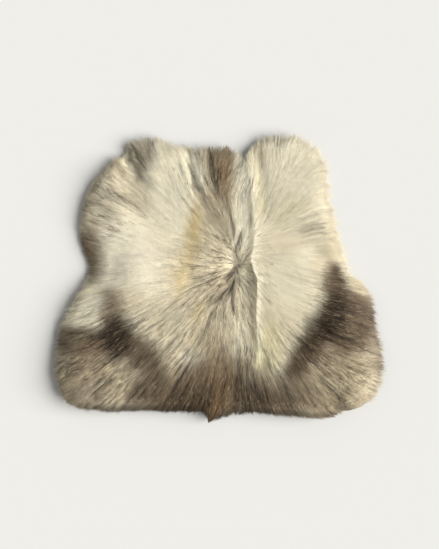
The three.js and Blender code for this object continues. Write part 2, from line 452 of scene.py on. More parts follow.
    def upper(self, across: np.ndarray, share: np.ndarray) -> tuple[np.ndarray, np.ndarray]:
        """Skin and hair points of the upper layer.

        Args:
            across: share of the way across.
            share: share of the way from the fold to the free end.

        Returns:
            Two arrays of points.
        """
        first, corner = self.sections[0].y, self.sections[-1].y
        station = first + (corner - first) * share
        left, right = self.side(station, "left"), self.side(station, "right")
        x = left + (right - left) * across
        free_end, fold = self.free_end_y(across), self.fold_y(across)
        y = fold + (corner - fold) * share + (free_end - corner) * share**self.lobe_fade
        skin = self.upper_skin(x, y) + self.extra_gap(across, y) / 2
        edges = rounded(x - left, self.edge_round) * rounded(right - x, self.edge_round)
        edges = edges * rounded(free_end - y, self.edge_round)
        pile = self.edge_pile + (self.upper_pile - self.edge_pile + self.relief(x, y)) * edges
        return np.stack([x, y, skin], 1), np.stack([x, y, skin + pile], 1)

    def lower(self, across: np.ndarray, share: np.ndarray) -> tuple[np.ndarray, np.ndarray]:
        """Skin and hair points of the lower layer, whose hair is pressed flat on the floor.

        Args:
            across: share of the way across.
            share: share of the way from the fold to the layer's end.

        Returns:
            Two arrays of points.
        """
        whole = self.lower_end_y(across) - self.fold_y(across)
        station = self.sections[0].y + whole * share
        left, right = self.lower_side(station, "left"), self.lower_side(station, "right")
        x = left + (right - left) * across
        y = self.fold_y(across) + whole * share
        skin = self.upper_skin(x, y) - self.layer_gap - self.extra_gap(across, y) / 2
        edges = rounded(x - left, self.lower_edge_round) * rounded(right - x, self.lower_edge_round)
        edges = edges * rounded(whole * (1 - share), self.lower_edge_round)
        pile = np.minimum(skin, self.edge_pile + self.lower_skin_top * edges)
        return np.stack([x, y, skin], 1), np.stack([x, y, skin - pile], 1)

    def fold(self, across: np.ndarray, angle: np.ndarray) -> tuple[np.ndarray, np.ndarray]:
        """Skin and hair points of the fold.

        Args:
            across: share of the way across.
            angle: turn from the upper layer (0) to the lower one (pi).

        Returns:
            Two arrays of points.
        """
        upper_skin, upper_hair = self.upper(across, np.zeros_like(across))
        lower_skin, lower_hair = self.lower(across, np.zeros_like(across))
        middle = (upper_skin + lower_skin) / 2
        radius = (upper_skin[:, 2] - lower_skin[:, 2]) / 2
        turned = smoothstep(angle, 0, math.pi)
        upper_pile = upper_hair[:, 2] - upper_skin[:, 2]
        lower_pile = lower_skin[:, 2] - lower_hair[:, 2]
        pile = upper_pile + (lower_pile - upper_pile) * turned
        out = np.stack([np.zeros_like(angle), -np.sin(angle), np.cos(angle)], 1)
        return middle + out * radius[:, None], middle + out * (radius + pile)[:, None]

    def at(self, across: np.ndarray, run: np.ndarray) -> tuple[np.ndarray, np.ndarray]:
        """Skin and hair points at places on the hide.

        Args:
            across: share of the way across.
            run: way along the hide, from 0 to 3.

        Returns:
            Two arrays of points.
        """
        skin, hair = np.zeros((len(run), 3)), np.zeros((len(run), 3))
        parts = (
            (run < 1, self.upper, 1 - run),
            ((run >= 1) & (run <= 2), self.fold, (run - 1) * math.pi),
            (run > 2, self.lower, run - 2),
        )
        for chosen, points, share in parts:
            if chosen.any():
                skin[chosen], hair[chosen] = points(across[chosen], share[chosen])
        return skin + self.shift, hair + self.shift

    def width(self) -> float:
        """Width of the hide at its fold."""
        return self.sections[0].right - self.sections[0].left

    def length(self) -> float:
        """Length of the hide laid out, along its middle."""
        upper = float(self.free_end_y(0.5) - self.fold_y(0.5))
        return upper + math.pi * self.fold_gap / 2 + self.lower_length


# --- Pattern and lie of the coat ---------------------------------------------------------------------


@dataclass(frozen=True)
class Outline:
    """The line that most hair tips reach, in millimetres, seen from above before the form's shift."""

    points: tuple[tuple[float, float], ...] = (
        # up the left side
        (-422, -285), (-429, -250), (-430, -205), (-424, -170), (-418, -139), (-405, -118), (-386, -100),
        (-375, -81), (-365, -60), (-358, -45), (-350, -32), (-343, -18), (-339, 0), (-337, 16),
        (-338, 34), (-345, 56), (-353, 80), (-358, 104), (-361, 128), (-357, 150), (-349, 172),
        (-341, 192), (-341, 212), (-334, 226), (-322, 240), (-311, 256), (-303, 272), (-289, 288),
        (-278, 302), (-268, 320), (-256, 308), (-246, 302), (-236, 306), (-228, 328), (-224, 350),
        # along the free end
        (-220, 370), (-206, 378), (-163, 382), (-120, 376), (-100, 366), (-34, 360), (10, 363), (31, 362),
        (52, 354), (68, 344), (80, 333), (90, 340), (102, 356), (117, 370), (139, 380), (161, 387),
        (204, 388), (230, 386), (247, 374), (262, 366), (278, 354),
        # down the right side
        (288, 338), (298, 300), (306, 256), (304, 205), (318, 186), (324, 158), (337, 104), (350, 50),
        (360, 23), (366, 4), (380, -8), (404, -20), (424, -38), (433, -70), (437, -105), (445, -139),
        (453, -172), (456, -215), (455, -252), (449, -296), (436, -316),
        # along the fold
        (392, -320), (368, -327), (350, -338), (338, -354), (325, -371), (312, -392), (290, -396),
        (258, -387), (204, -371), (110, -364), (74, -368), (31, -376), (-14, -386), (-34, -355),
        (-90, -356), (-200, -368), (-290, -368), (-340, -358), (-370, -346), (-395, -333), (-410, -312),
    )

    def outside(self, x: np.ndarray, y: np.ndarray) -> np.ndarray:
        """How far places are outside the outline. It is below zero inside.

        Args:
            x: places across.
            y: places along.

        Returns:
            A length for each place.
        """
        closed = metres((*self.points, self.points[0]))
        inside = np.zeros(len(x), bool)
        for (ax, ay), (bx, by) in zip(closed, closed[1:]):
            if ay != by:
                inside ^= ((y < ay) != (y < by)) & (x < ax + (bx - ax) * (y - ay) / (by - ay))
        away = distance_to(closed, x, y)
        return np.where(inside, -away, away)


@dataclass
class CoatPattern:
    """The colours of the coat, as seen from above, before the form's shift: its natural colours, with
    painted shade and light where noted at the patches and partings.
    """

    ground: Hair = Hair.CREAM
    patches: tuple[Patch, ...] = table(
        Patch, 4,
        # the pale back and shoulders
        # The first white patch is the white of the left back, laid on strongly, partly as painted light
        # that lifts its shaded slope.
        (-226, 54, 110, 100, 78, Hair.WHITE, 0.9), (-135, 260, 140, 80, 100, Hair.IVORY, 0.8),
        (195, 10, 120, 80, 90, Hair.IVORY, 0.6), (200, 240, 130, 110, 80, Hair.IVORY, 0.85),
        (215, 185, 70, 30, 30, Hair.STRAW, 0.35, 0.8), (128, 230, 80, 14, 94, Hair.STRAW, 0.5),
        (165, 85, 70, 45, 20, Hair.SAND, 0.28), (136, -72, 56, 18, 90, Hair.SAND, 0.4),
        (-92, 10, 26, 34, 80, Hair.SAND, 0.4), (-4, 55, 32, 30, 80, Hair.SAND, 0.35),
        # The two white patches on the right shoulder are partly pale hair, partly painted light that
        # lifts its shaded slopes.
        (178, 300, 60, 45, 70, Hair.WHITE, 0.5), (248, 284, 60, 45, 80, Hair.WHITE, 0.5),
        (-96, 160, 80, 28, 90, Hair.IVORY, 0.8), (-90, -160, 110, 70, 140, Hair.SAND, 0.4),
        (180, -125, 80, 45, 70, Hair.SAND, 0.2), (-60, -50, 60, 50, 20, Hair.SAND, 0.25),
        (-226, -52, 40, 34, 120, Hair.SAND, 0.6), (-140, 60, 90, 26, 90, Hair.SAND, 0.3),
        # ochre left of the whorl
        (-40, 130, 110, 32, 80, Hair.SAND, 0.3), (-56, 115, 76, 17, 82, Hair.OCHRE, 0.9, 0.8),
        (-82, 10, 58, 24, 80, Hair.OCHRE, 0.5, 0.6), (-40, -88, 30, 18, 60, Hair.OCHRE, 0.45),
        # grey about the whorl
        (-6, 55, 90, 60, 80, Hair.SAND, 0.6), (30, 0, 50, 34, 60, Hair.BEIGE, 0.4),
        (-24, -30, 56, 42, 60, Hair.BEIGE, 0.3), (25, -76, 76, 43, 80, Hair.BEIGE, 0.42),
        (-100, -90, 50, 34, 20, Hair.ASH, 0.3), (254, 140, 46, 13, 25, Hair.ASH, 0.25, 0.8),
        (276, 96, 40, 26, 20, Hair.IVORY, 0.7), (205, 105, 60, 30, 15, Hair.SAND, 0.45, 0.7),
        # the dorsal streak on the middle lobe
        (-40, 300, 80, 30, 100, Hair.SAND, 0.2), (20, 290, 90, 45, 98, Hair.BEIGE, 0.8),
        (-40, 350, 34, 14, 0, Hair.STONE, 0.3), (28, 318, 52, 42, 80, Hair.TAN, 0.75),
        (0, 298, 60, 15, 98, Hair.BROWN, 0.3), (26, 270, 50, 15, 92, Hair.RUST, 0.5),
        # The ivory patch left of the middle lobe is partly pale hair, partly painted light on the shaded
        # step beside the lobe.
        (0, 190, 76, 32, 118, Hair.BEIGE, 0.65), (-52, 296, 56, 24, 104, Hair.IVORY, 0.85),
        (78, 276, 80, 20, 98, Hair.IVORY, 0.85), (80, 165, 110, 28, 92, Hair.IVORY, 0.75),
        # The white patch beside the upper ridge is partly pale hair, partly painted light that lifts the
        # shade left of the ridge.
        (86, 215, 60, 18, 92, Hair.WHITE, 0.6),
        # darker tips of the lobes and the left edge
        # The second stone patch here is painted shade in the valley between the left lobes.
        (-190, 330, 52, 30, 76, Hair.STONE, 0.85), (-196, 276, 40, 22, 125, Hair.STONE, 0.45),
        (170, 372, 50, 14, 0, Hair.ASH, 0.5), (-322, 160, 112, 58, 72, Hair.STONE, 0.47),
        (-212, 226, 60, 34, 130, Hair.BEIGE, 0.5), (-262, 302, 34, 15, 135, Hair.BEIGE, 0.7),
        (-255, 262, 45, 13, 142, Hair.CREAM, 0.6), (-366, 185, 80, 18, 74, Hair.TAN, 0.3),
        (-332, 66, 70, 32, 102, Hair.TAN, 0.9), (-334, 6, 30, 24, 120, Hair.STONE, 0.5),
        (-130, 352, 50, 22, 0, Hair.ASH, 0.25), (300, 50, 70, 40, 90, Hair.SAND, 0.6),
        (318, 180, 150, 22, 100, Hair.SAND, 0.4, 0.8),
        # the left limb
        (-345, -275, 125, 95, 0, Hair.BEIGE, 0.85), (-330, -300, 60, 40, 40, Hair.STONE, 0.6),
        (-404, -235, 36, 40, 0, Hair.STONE, 0.3), (-124, -303, 130, 56, 8, Hair.BROWN, 0.85, 0.3),
        (-190, -255, 76, 46, 120, Hair.BROWN, 0.55, 0.4), (-262, -298, 50, 30, 60, Hair.SAND, 0.75),
        # The stone patch along the bottom is darker hair at the front of the fold, partly painted shade
        # there.
        (-250, -362, 100, 20, 0, Hair.STONE, 0.8), (-335, -245, 60, 36, 20, Hair.TAN, 0.4),
        (-358, -170, 80, 40, 0, Hair.BROWN, 0.85, 0.3), (-285, -185, 60, 44, 0, Hair.BROWN, 0.5, 0.4),
        (-326, -180, 32, 30, 0, Hair.TAN, 0.9), (-404, -138, 26, 14, 0, Hair.BROWN, 0.6),
        (-190, -205, 88, 40, 130, Hair.BROWN, 0.9, 0.25), (-276, -84, 60, 37, 98, Hair.TAN, 0.85, 0.25),
        (-262, -158, 62, 44, 90, Hair.UMBER, 1.0, 0.4), (-350, -84, 60, 34, 35, Hair.IVORY, 0.75, 0.35),
        # the band at the fold
        (-10, -205, 66, 56, 0, Hair.BEIGE, 0.6, 0.8), (74, -168, 24, 44, 0, Hair.IVORY, 0.3),
        (-52, -210, 40, 32, 60, Hair.IVORY, 0.7), (-30, -150, 50, 34, 60, Hair.SAND, 0.6),
        (-3, -180, 36, 28, 0, Hair.BEIGE, 0.65), (88, -226, 26, 22, 80, Hair.BEIGE, 0.6),
        (4, -258, 92, 58, 0, Hair.TAN, 0.85, 0.5), (20, -325, 200, 74, 0, Hair.BROWN, 0.95),
        (-6, -325, 42, 52, 0, Hair.UMBER, 0.65), (-116, -245, 36, 22, 120, Hair.BEIGE, 0.6),
        (-84, -338, 66, 34, 4, Hair.UMBER, 0.5), (130, -335, 70, 34, 0, Hair.UMBER, 0.6),
        (-2, -272, 40, 40, 85, Hair.TAN, 0.5, 0.8), (20, -290, 80, 34, 88, Hair.RUST, 0.16, 0.8),
        (0, -356, 36, 18, 60, Hair.RUST, 0.35), (142, -190, 70, 34, 78, Hair.STRAW, 0.8),
        (130, -262, 40, 24, 70, Hair.BROWN, 0.5),
        # the right limb
        (335, -285, 135, 115, 0, Hair.BEIGE, 0.92), (352, -294, 70, 40, 10, Hair.SAND, 0.65),
        # Painted shade: the tan patch at the right edge tones down the edge where the light falls on it
        # most.
        (446, -205, 60, 30, 84, Hair.TAN, 0.65, 0.5), (424, -280, 40, 30, 84, Hair.CREAM, 0.12),
        (270, -355, 110, 30, 0, Hair.TAN, 0.55), (190, -318, 95, 50, 60, Hair.BROWN, 0.65, 0.4),
        (185, -362, 70, 16, 0, Hair.UMBER, 0.4), (370, -118, 86, 80, 90, Hair.TAN, 0.95, 0.25),
        (372, -108, 76, 66, 90, Hair.BROWN, 0.9, 0.3), (300, -185, 62, 34, 20, Hair.BROWN, 0.6, 0.5),
        (249, -197, 82, 36, 54, Hair.BROWN, 0.95, 0.2), (236, -206, 66, 26, 54, Hair.UMBER, 0.55),
        (324, -30, 74, 34, 90, Hair.BROWN, 1.0, 0.16), (319, -96, 66, 41, 72, Hair.UMBER, 1.0, 0.3),
        (284, -130, 52, 36, 30, Hair.UMBER, 0.85, 0.4), (396, -22, 36, 20, 150, Hair.SAND, 0.85, 0.4),
    )
    partings: tuple[Parting, ...] = table(
        Parting, 3,
        ("dorsal line", ((-16, 357), (-10, 337), (-8, 299), (0, 260), (15, 218)), 6,
            Hair.UMBER, 0.7, 0.003),
        ("end of the dorsal line", ((4, 250), (20, 215), (40, 175), (50, 140), (54, 115)), 3.5,
            Hair.TAN, 0.75, 0.003),
        ("right dorsal line", ((12, 290), (30, 222), (44, 187)), 4, Hair.TAN, 0.7, 0.003),
        ("left dorsal line", ((-68, 310), (-54, 256), (-35, 222), (-12, 187), (15, 160)), 5,
            Hair.STONE, 0.5, 0.003),
        ("whorl", ((73, 125), (64, 98), (54, 67), (58, 44), (67, 34)), 4, Hair.SLATE, 0.85, 0.007),
        ("second whorl", ((58, 25), (42, 11), (32, 0)), 5, Hair.SLATE, 0.95, 0.008),
        ("left of the whorl", ((-20, 121), (15, 110), (44, 80)), 3, Hair.TAN, 0.7, 0.003),
        ("below the whorl", ((42, -22), (22, -44), (-6, -62)), 4, Hair.SLATE, 0.8, 0.005),
        ("down from the whorl", ((44, -18), (48, -55), (52, -92)), 5, Hair.SLATE, 0.75, 0.004),
        # Painted shade: the two olive lines left of the ridge stand for the shade on its side away from
        # the light, the lower one over a shallow groove.
        ("left of the upper ridge", ((94, 205), (99, 156), (102, 110), (96, 70)), 6, Hair.OLIVE, 0.45),
        ("left of the ridge", ((92, 34), (107, 4), (109, -48), (108, -110), (112, -190)), 4,
            Hair.OLIVE, 0.75, 0.003),
        # The pale lines along the ridge are pale hair on its crest, partly a painted highlight where it
        # faces the light.
        ("pale upper ridge", ((84, 325), (98, 291), (103, 214), (110, 156), (111, 100), (103, 60)), 7,
            Hair.IVORY, 0.7),
        ("pale ridge", ((101, 48), (110, 21), (121, -2), (120, -56), (119, -99), (122, -200)), 7,
            Hair.IVORY, 0.6),
        # Painted shade: the gap between the left lobes is darkened as the shade in its notch, over a
        # groove.
        ("gap between the left lobes", ((-246, 336), (-222, 300), (-198, 262)), 6, Hair.TAN, 0.35, 0.005),
        ("first gap on the left shoulder", ((-300, 244), (-256, 226), (-214, 198)), 5,
            Hair.STONE, 0.4, 0.001),
        ("second gap on the left shoulder", ((-276, 304), (-238, 268), (-210, 244)), 4,
            Hair.STONE, 0.3, 0.001),
        ("third gap on the left shoulder", ((-345, 160), (-290, 136), (-250, 124)), 5,
            Hair.OLIVE, 0.3, 0.003),
        ("first dark lock, lower left", ((-395, -262), (-350, -225)), 4, Hair.BROWN, 0.7, 0.003),
        ("second dark lock, lower left", ((-330, -320), (-268, -268)), 4, Hair.BROWN, 0.7, 0.003),
        ("third dark lock, lower left", ((-345, -345), (-310, -312)), 4, Hair.UMBER, 0.6, 0.003),
        ("dark lock, lower right", ((345, -350), (312, -306)), 5, Hair.BROWN, 0.65, 0.004),
        ("second dark lock, lower right", ((262, -330), (240, -280)), 4, Hair.BROWN, 0.5, 0.003),
    )
    flecks: tuple[Spot, ...] = table(
        Spot, 3,
        (-300, -240, 150, 1.0), (0, -300, 190, 1.0), (340, -220, 160, 1.0), (20, 10, 85, 0.9),
        (10, 270, 85, 0.9), (50, -110, 60, 0.5), (-310, 210, 90, 0.75), (-210, 330, 50, 0.8),
        (255, 136, 40, 0.4), (170, 375, 40, 0.8), (-345, 80, 50, 0.6), (88, 110, 30, 0.15),
        (-250, -150, 60, 1.6), (-140, -280, 70, 1.7), (40, -320, 70, 1.5), (240, -210, 50, 1.4),
        (320, -80, 60, 1.2), (180, 60, 70, 0.03), (180, -60, 65, 0.04),
    )
    plain_fleck: float = 0.06
    groove_width: float = 1.5

    def colour(self, x: np.ndarray, y: np.ndarray) -> np.ndarray:
        """Linear colour of the coat at places.

        Args:
            x: places across, before the form's shift.
            y: places along, before the form's shift.

        Returns:
            An array of linear RGB rows.
        """
        colour = np.tile(self.ground.linear(), (len(x), 1))
        for patch in self.patches:
            turn = math.radians(patch.degrees)
            dx, dy = x - patch.x, y - patch.y
            major = (dx * math.cos(turn) + dy * math.sin(turn)) / patch.long
            minor = (dy * math.cos(turn) - dx * math.sin(turn)) / patch.short
            inside = 1 - smoothstep(np.hypot(major, minor), 1 - patch.softness, 1 + patch.softness)
            colour += (patch.hair.linear() - colour) * (patch.strength * inside)[:, None]
        for parting in self.partings:
            share = parting.strength * near_path(parting.path, parting.half_width, x, y)
            colour += (parting.hair.linear() - colour) * share[:, None]
        return colour

    def groove(self, x: np.ndarray, y: np.ndarray) -> np.ndarray:
        """How far the partings press the hair in at places.

        Args:
            x: places across, before the form's shift.
            y: places along, before the form's shift.

        Returns:
            One depth for each place.
        """
        depth = np.zeros(len(x))
        for parting in self.partings:
            share = near_path(parting.path, parting.half_width * self.groove_width, x, y)
            depth = np.maximum(depth, parting.depth * share)
        return depth

    def fleck(self, x: np.ndarray, y: np.ndarray) -> np.ndarray:
        """How much single hairs differ from their neighbours at places, from 0 upwards."""
        return blended(self.flecks, x, y, self.plain_fleck)


def near_path(path: tuple, half_width: float, x: np.ndarray, y: np.ndarray) -> np.ndarray:
    """How near places are to a path: 1 on it, and fading over its half-width.

    Args:
        path: the path's points.
        half_width: where the nearness has fallen to about a third.
        x: places across.
        y: places along.

    Returns:
        One value for each place.
    """
    return np.exp(-((distance_to(path, x, y) / half_width) ** 2))


def blended(spots: tuple[Spot, ...], x: np.ndarray, y: np.ndarray, plain: float) -> np.ndarray:
    """A measure of the coat at places, from its plain value and the spots where it differs.

    Args:
        spots: the places where it differs.
        x: places across, before the form's shift.
        y: places along, before the form's shift.
        plain: the value away from all spots.

    Returns:
        One value for each place.
    """
    value = np.full(len(x), plain)
    for spot in spots:
        near = np.exp(-(((x - spot.x) ** 2 + (y - spot.y) ** 2) / spot.reach**2))
        value += (spot.value - value) * near
    return value


@dataclass
class CoatLie:
    """Which way the hair lies, how long it is and how far it stands up, before the form's shift."""

    guides: tuple[Guide, ...] = table(
        Guide, 2,
        # round the whorl
        (82, 60, 50, 0.018), (66, 112, 78, 0.022), (30, 71, 150, 0.020), (4, 71, 162, 0.025),
        (30, 40, 178, 0.018), (4, 34, 186, 0.025), (25, 19, 197, 0.018), (9, -2, 212, 0.022),
        (30, -43, 226, 0.022), (-6, -59, 226, 0.025), (48, -54, 268, 0.020), (82, -38, 300, 0.020),
        (72, 20, 322, 0.016), (124, 29, 315, 0.025),
        # up the middle lobe
        (4, 123, 138, 0.030), (-37, 175, 132), (-22, 221, 126, 0.030), (-42, 320, 104, 0.030),
        (-60, 265, 110, 0.030), (-12, 300, 98, 0.020), (24, 300, 74, 0.022), (48, 300, 58, 0.025),
        (46, 247, 64, 0.025), (28, 211, 102, 0.020), (46, 175, 100, 0.022), (80, 170, 92, 0.025),
        (76, 250, 76, 0.020), (30, 345, 78, 0.020),
        # the left shoulder
        (-94, 325, 118), (-150, 360, 112), (-205, 335, 120), (-255, 280, 144, 0.030), (-300, 230, 150),
        (-340, 160, 157), (-345, 100, 160), (-330, 50, 170), (-250, 180, 152), (-250, 40, 180),
        (-160, 220, 138), (-180, 100, 162), (-80, 70, 168), (-150, 0, 188),
        # the right shoulder
        (145, 320, 98), (145, 200, 72), (200, 350, 82), (260, 350, 58), (295, 290, 30), (310, 220, 8),
        (220, 250, 52), (220, 140, 24), (180, 80, 4), (300, 90, 0), (260, 10, 344), (180, -40, 330),
        # the left flank and limb
        (-260, -30, 200), (-350, -70, 204), (-390, -160, 190), (-280, -130, 208), (-200, -100, 212),
        (-100, -100, 222), (-180, -220, 224), (-290, -240, 216), (-400, -270, 206), (-330, -320, 224),
        (-210, -320, 230),
        # the rump, down to the fold
        (-110, -190, 226), (-40, -180, 240), (-95, -325, 242), (-10, -270, 255), (30, -130, 264),
        (30, -320, 264), (90, -200, 272), (130, -60, 300), (130, -140, 290), (130, -320, 284),
        (220, -320, 298),
        # the right flank and limb
        (220, -60, 338), (220, -150, 318), (220, -240, 306), (300, -80, 346), (300, -160, 336),
        (300, -240, 326), (300, -320, 312), (390, -60, 348), (410, -160, 340), (410, -260, 340),
        (370, -330, 322),
    )
    lengths: tuple[Spot, ...] = table(
        Spot, 3,
        (-200, 330, 110, 0.064), (-330, 200, 120, 0.068), (230, 360, 110, 0.058), (320, 230, 100, 0.060),
        (320, 330, 80, 0.062), (50, 35, 50, 0.024), (-290, -200, 130, 0.034), (300, -160, 120, 0.032),
        (430, -200, 60, 0.050), (-430, -230, 60, 0.046), (0, -250, 70, 0.040), (20, -350, 50, 0.066),
    )
    plain_length: float = 0.050
    lifts: tuple[Spot, ...] = table(
        Spot, 3,
        (48, 30, 50, 0.20), (-270, 280, 110, 0.14), (300, 300, 90, 0.14),
    )
    plain_lift: float = 0.05
    clumps: tuple[Spot, ...] = table(
        Spot, 3,
        (-260, 260, 130, 0.95), (-200, 350, 60, 0.8), (10, 60, 80, 0.7), (0, 280, 90, 0.7),
        (30, -80, 70, 0.6), (190, 0, 110, 0.0), (200, 200, 90, 0.03), (-150, 210, 80, 0.03),
        (300, 330, 70, 0.6), (-350, -280, 120, 0.6), (-270, -130, 90, 0.4), (0, -320, 140, 0.45),
        (330, -300, 100, 0.6), (340, -120, 90, 0.4),
    )
    plain_clump: float = 0.1
    looseness: tuple[Spot, ...] = table(
        Spot, 3,
        (-370, 60, 90, 0.15), (-440, -200, 110, 0.25), (-400, -320, 90, 0.3),
    )
    plain_loose: float = 0.9
    cell: float = 0.004
    half_size: float = 0.56

    def __post_init__(self) -> None:
        """Works out the lie on a grid, from which all places are read."""
        steps = np.arange(-self.half_size, self.half_size + self.cell, self.cell)
        y, x = np.meshgrid(steps, steps, indexing="ij")
        self.grid = self.guided(x.ravel(), y.ravel()).reshape(len(steps), len(steps), 2)

    def direction(self, x: np.ndarray, y: np.ndarray) -> np.ndarray:
        """The hair's lie at places, as unit vectors in the plane, read from the grid."""
        found = grid_values(self.grid, (x + self.half_size) / self.cell, (y + self.half_size) / self.cell)
        return unit(found)

    def guided(self, x: np.ndarray, y: np.ndarray) -> np.ndarray:
        """The hair's lie at places, from the guides.

        Args:
            x: places across, before the form's shift.
            y: places along, before the form's shift.

        Returns:
            An array of unit vectors in the plane.
        """
        total = np.zeros((len(x), 2))
        for guide in self.guides:
            away = (x - guide.x) ** 2 + (y - guide.y) ** 2
            weight = 1 / (1 + (away / guide.reach**2) ** 2)
            turn = math.radians(guide.degrees)
            total += weight[:, None] * np.array([math.cos(turn), math.sin(turn)])
        return total / np.maximum(np.linalg.norm(total, axis=1), 1e-9)[:, None]

    def length(self, x: np.ndarray, y: np.ndarray) -> np.ndarray:
        """Length of the hair at places."""
        return blended(self.lengths, x, y, self.plain_length)

    def lift(self, x: np.ndarray, y: np.ndarray) -> np.ndarray:
        """How steeply the hair's outer half stands off the coat, in radians."""
        return blended(self.lifts, x, y, self.plain_lift)

    def clump(self, x: np.ndarray, y: np.ndarray) -> np.ndarray:
        """How much the hair is drawn into locks, from 0 to 1."""
        return blended(self.clumps, x, y, self.plain_clump)

    def loose(self, x: np.ndarray, y: np.ndarray) -> np.ndarray:
        """How freely the hair at an edge stands out past it, from 0 to 1."""
        return blended(self.looseness, x, y, self.plain_loose)


@dataclass
class Streaks:
    """Unevenness that runs along the coat's lie in long thin streaks, about 0 with a spread of 1."""

    lie: CoatLie
    cell: float
    step: float
    steps: int
    seed: int
    half_size: float = 0.60

    def __post_init__(self) -> None:
        """Draws the random grid that is smeared along the lie."""
        count = int(2 * self.half_size / self.cell) + 2
        self.grid = np.random.default_rng(self.seed).normal(size=(count, count, 1))

    def at(self, x: np.ndarray, y: np.ndarray) -> np.ndarray:
        """The streaks' value at places.

        Args:
            x: places across, before the form's shift.
            y: places along, before the form's shift.

        Returns:
            One value for each place.
        """
        total = self.noise(x, y)
        for way in (-self.step, self.step):
            px, py = x, y
            for _ in range(self.steps):
                flow = self.lie.direction(px, py)
                px, py = px + flow[:, 0] * way, py + flow[:, 1] * way
                total = total + self.noise(px, py)
        return total / max(float(total.std()), 1e-9)

    def noise(self, x: np.ndarray, y: np.ndarray) -> np.ndarray:
        """The random grid's value at places."""
        scaled_x, scaled_y = (x + self.half_size) / self.cell, (y + self.half_size) / self.cell
        return grid_values(self.grid, scaled_x, scaled_y)[:, 0]


def grid_values(grid: np.ndarray, column: np.ndarray, row: np.ndarray) -> np.ndarray:
    """Reads a grid between its points.

    Args:
        grid: rows by columns by values.
        column: places along the rows, counted in cells.
        row: places across the rows, counted in cells.

    Returns:
        The values at the places.
    """
    column = np.clip(column, 0, grid.shape[1] - 1.001)
    row = np.clip(row, 0, grid.shape[0] - 1.001)
    i, j = column.astype(int), row.astype(int)
    u, v = (column - i)[:, None], (row - j)[:, None]
    low = grid[j, i] * (1 - u) + grid[j, i + 1] * u
    high = grid[j + 1, i] * (1 - u) + grid[j + 1, i + 1] * u
    return low * (1 - v) + high * v


# --- Node helpers and shared groups ------------------------------------------------------------------


def add_node(tree: bpy.types.NodeTree, kind: str, **values: object) -> bpy.types.Node:
    """Adds a shader node and sets its named inputs and settings.

    Args:
        tree: the tree that it goes into.
        kind: the node's type.
        values: settings by attribute name, or input values by name with _ for a blank.

    Returns:
        The new node.
    """
    node = tree.nodes.new(kind)
    for name, value in values.items():
        if hasattr(node, name):
            setattr(node, name, value)
        else:
            node.inputs[name.replace("_", " ")].default_value = value
    return node


def fibre_grain_group() -> bpy.types.NodeTree:
    """Fine uneven grain of hair and skin, built once.

    Returns:
        A group with Scale and Contrast in, and Shade (about 1) and Height (0 to 1) out.
    """
    name = "fibre_grain"
    if name in bpy.data.node_groups:
        return bpy.data.node_groups[name]
    group = bpy.data.node_groups.new(name, "ShaderNodeTree")
    scale = group.interface.new_socket("Scale", in_out="INPUT", socket_type="NodeSocketFloat")
    scale.default_value = 400.0
    contrast = group.interface.new_socket("Contrast", in_out="INPUT", socket_type="NodeSocketFloat")
    contrast.default_value = 0.2
    group.interface.new_socket("Shade", in_out="OUTPUT", socket_type="NodeSocketFloat")
    group.interface.new_socket("Height", in_out="OUTPUT", socket_type="NodeSocketFloat")
    inside = group.nodes.new("NodeGroupInput")
    outside = group.nodes.new("NodeGroupOutput")
    place = group.nodes.new("ShaderNodeTexCoord")
    noise = add_node(group, "ShaderNodeTexNoise", Detail=5.0, Roughness=0.65)
    centred = add_node(group, "ShaderNodeMath", operation="SUBTRACT")
    centred.inputs[1].default_value = 0.5
    spread = add_node(group, "ShaderNodeMath", operation="MULTIPLY_ADD")
    spread.inputs[2].default_value = 1.0
    group.links.new(place.outputs["Object"], noise.inputs["Vector"])
    group.links.new(inside.outputs["Scale"], noise.inputs["Scale"])
    group.links.new(noise.outputs["Fac"], centred.inputs[0])
    group.links.new(centred.outputs[0], spread.inputs[0])
    group.links.new(inside.outputs["Contrast"], spread.inputs[1])
    group.links.new(spread.outputs[0], outside.inputs["Shade"])
    group.links.new(noise.outputs["Fac"], outside.inputs["Height"])
    return group




def new_object(name: str, data: bpy.types.ID) -> bpy.types.Object:
    """Makes an object at the origin and puts it in the scene.

    Args:
        name: the object's name.
        data: its mesh, light or camera.

    Returns:
        The new object.
    """
    made = bpy.data.objects.new(name, data)
    bpy.context.scene.collection.objects.link(made)
    return made


def paint(mesh: bpy.types.Mesh, name: str, colours: np.ndarray) -> None:
    """Stores a linear colour at each corner of a mesh, as an attribute of this name."""
    layer = mesh.attributes.new(name, "FLOAT_VECTOR", "POINT")
    layer.data.foreach_set("vector", colours.astype(np.float32).ravel())


def new_material(name: str) -> tuple[bpy.types.Material, bpy.types.NodeTree, bpy.types.Node]:
    """Makes a material with its Principled node.

    Args:
        name: the material's name.

    Returns:
        The material, its tree and its Principled node.
    """
    material = bpy.data.materials.new(name)
    material.use_nodes = True
    tree = material.node_tree
    return material, tree, tree.nodes["Principled BSDF"]


def grained(
    tree: bpy.types.NodeTree, colour: bpy.types.NodeSocket, scale: float, contrast: float
) -> bpy.types.Node:
    """Gives a material's Principled node a colour with fine grain on it.

    Args:
        tree: the material's tree.
        colour: the colour's socket.
        scale: the grain's scale.
        contrast: the grain's contrast.

    Returns:
        The grain's node, for its Height.
    """
    grain = tree.nodes.new("ShaderNodeGroup")
    grain.node_tree = fibre_grain_group()
    grain.inputs["Scale"].default_value = scale
    grain.inputs["Contrast"].default_value = contrast
    scaled = add_node(tree, "ShaderNodeVectorMath", operation="SCALE")
    tree.links.new(colour, scaled.inputs[0])
    tree.links.new(grain.outputs["Shade"], scaled.inputs["Scale"])
    tree.links.new(scaled.outputs[0], tree.nodes["Principled BSDF"].inputs["Base Color"])
    return grain


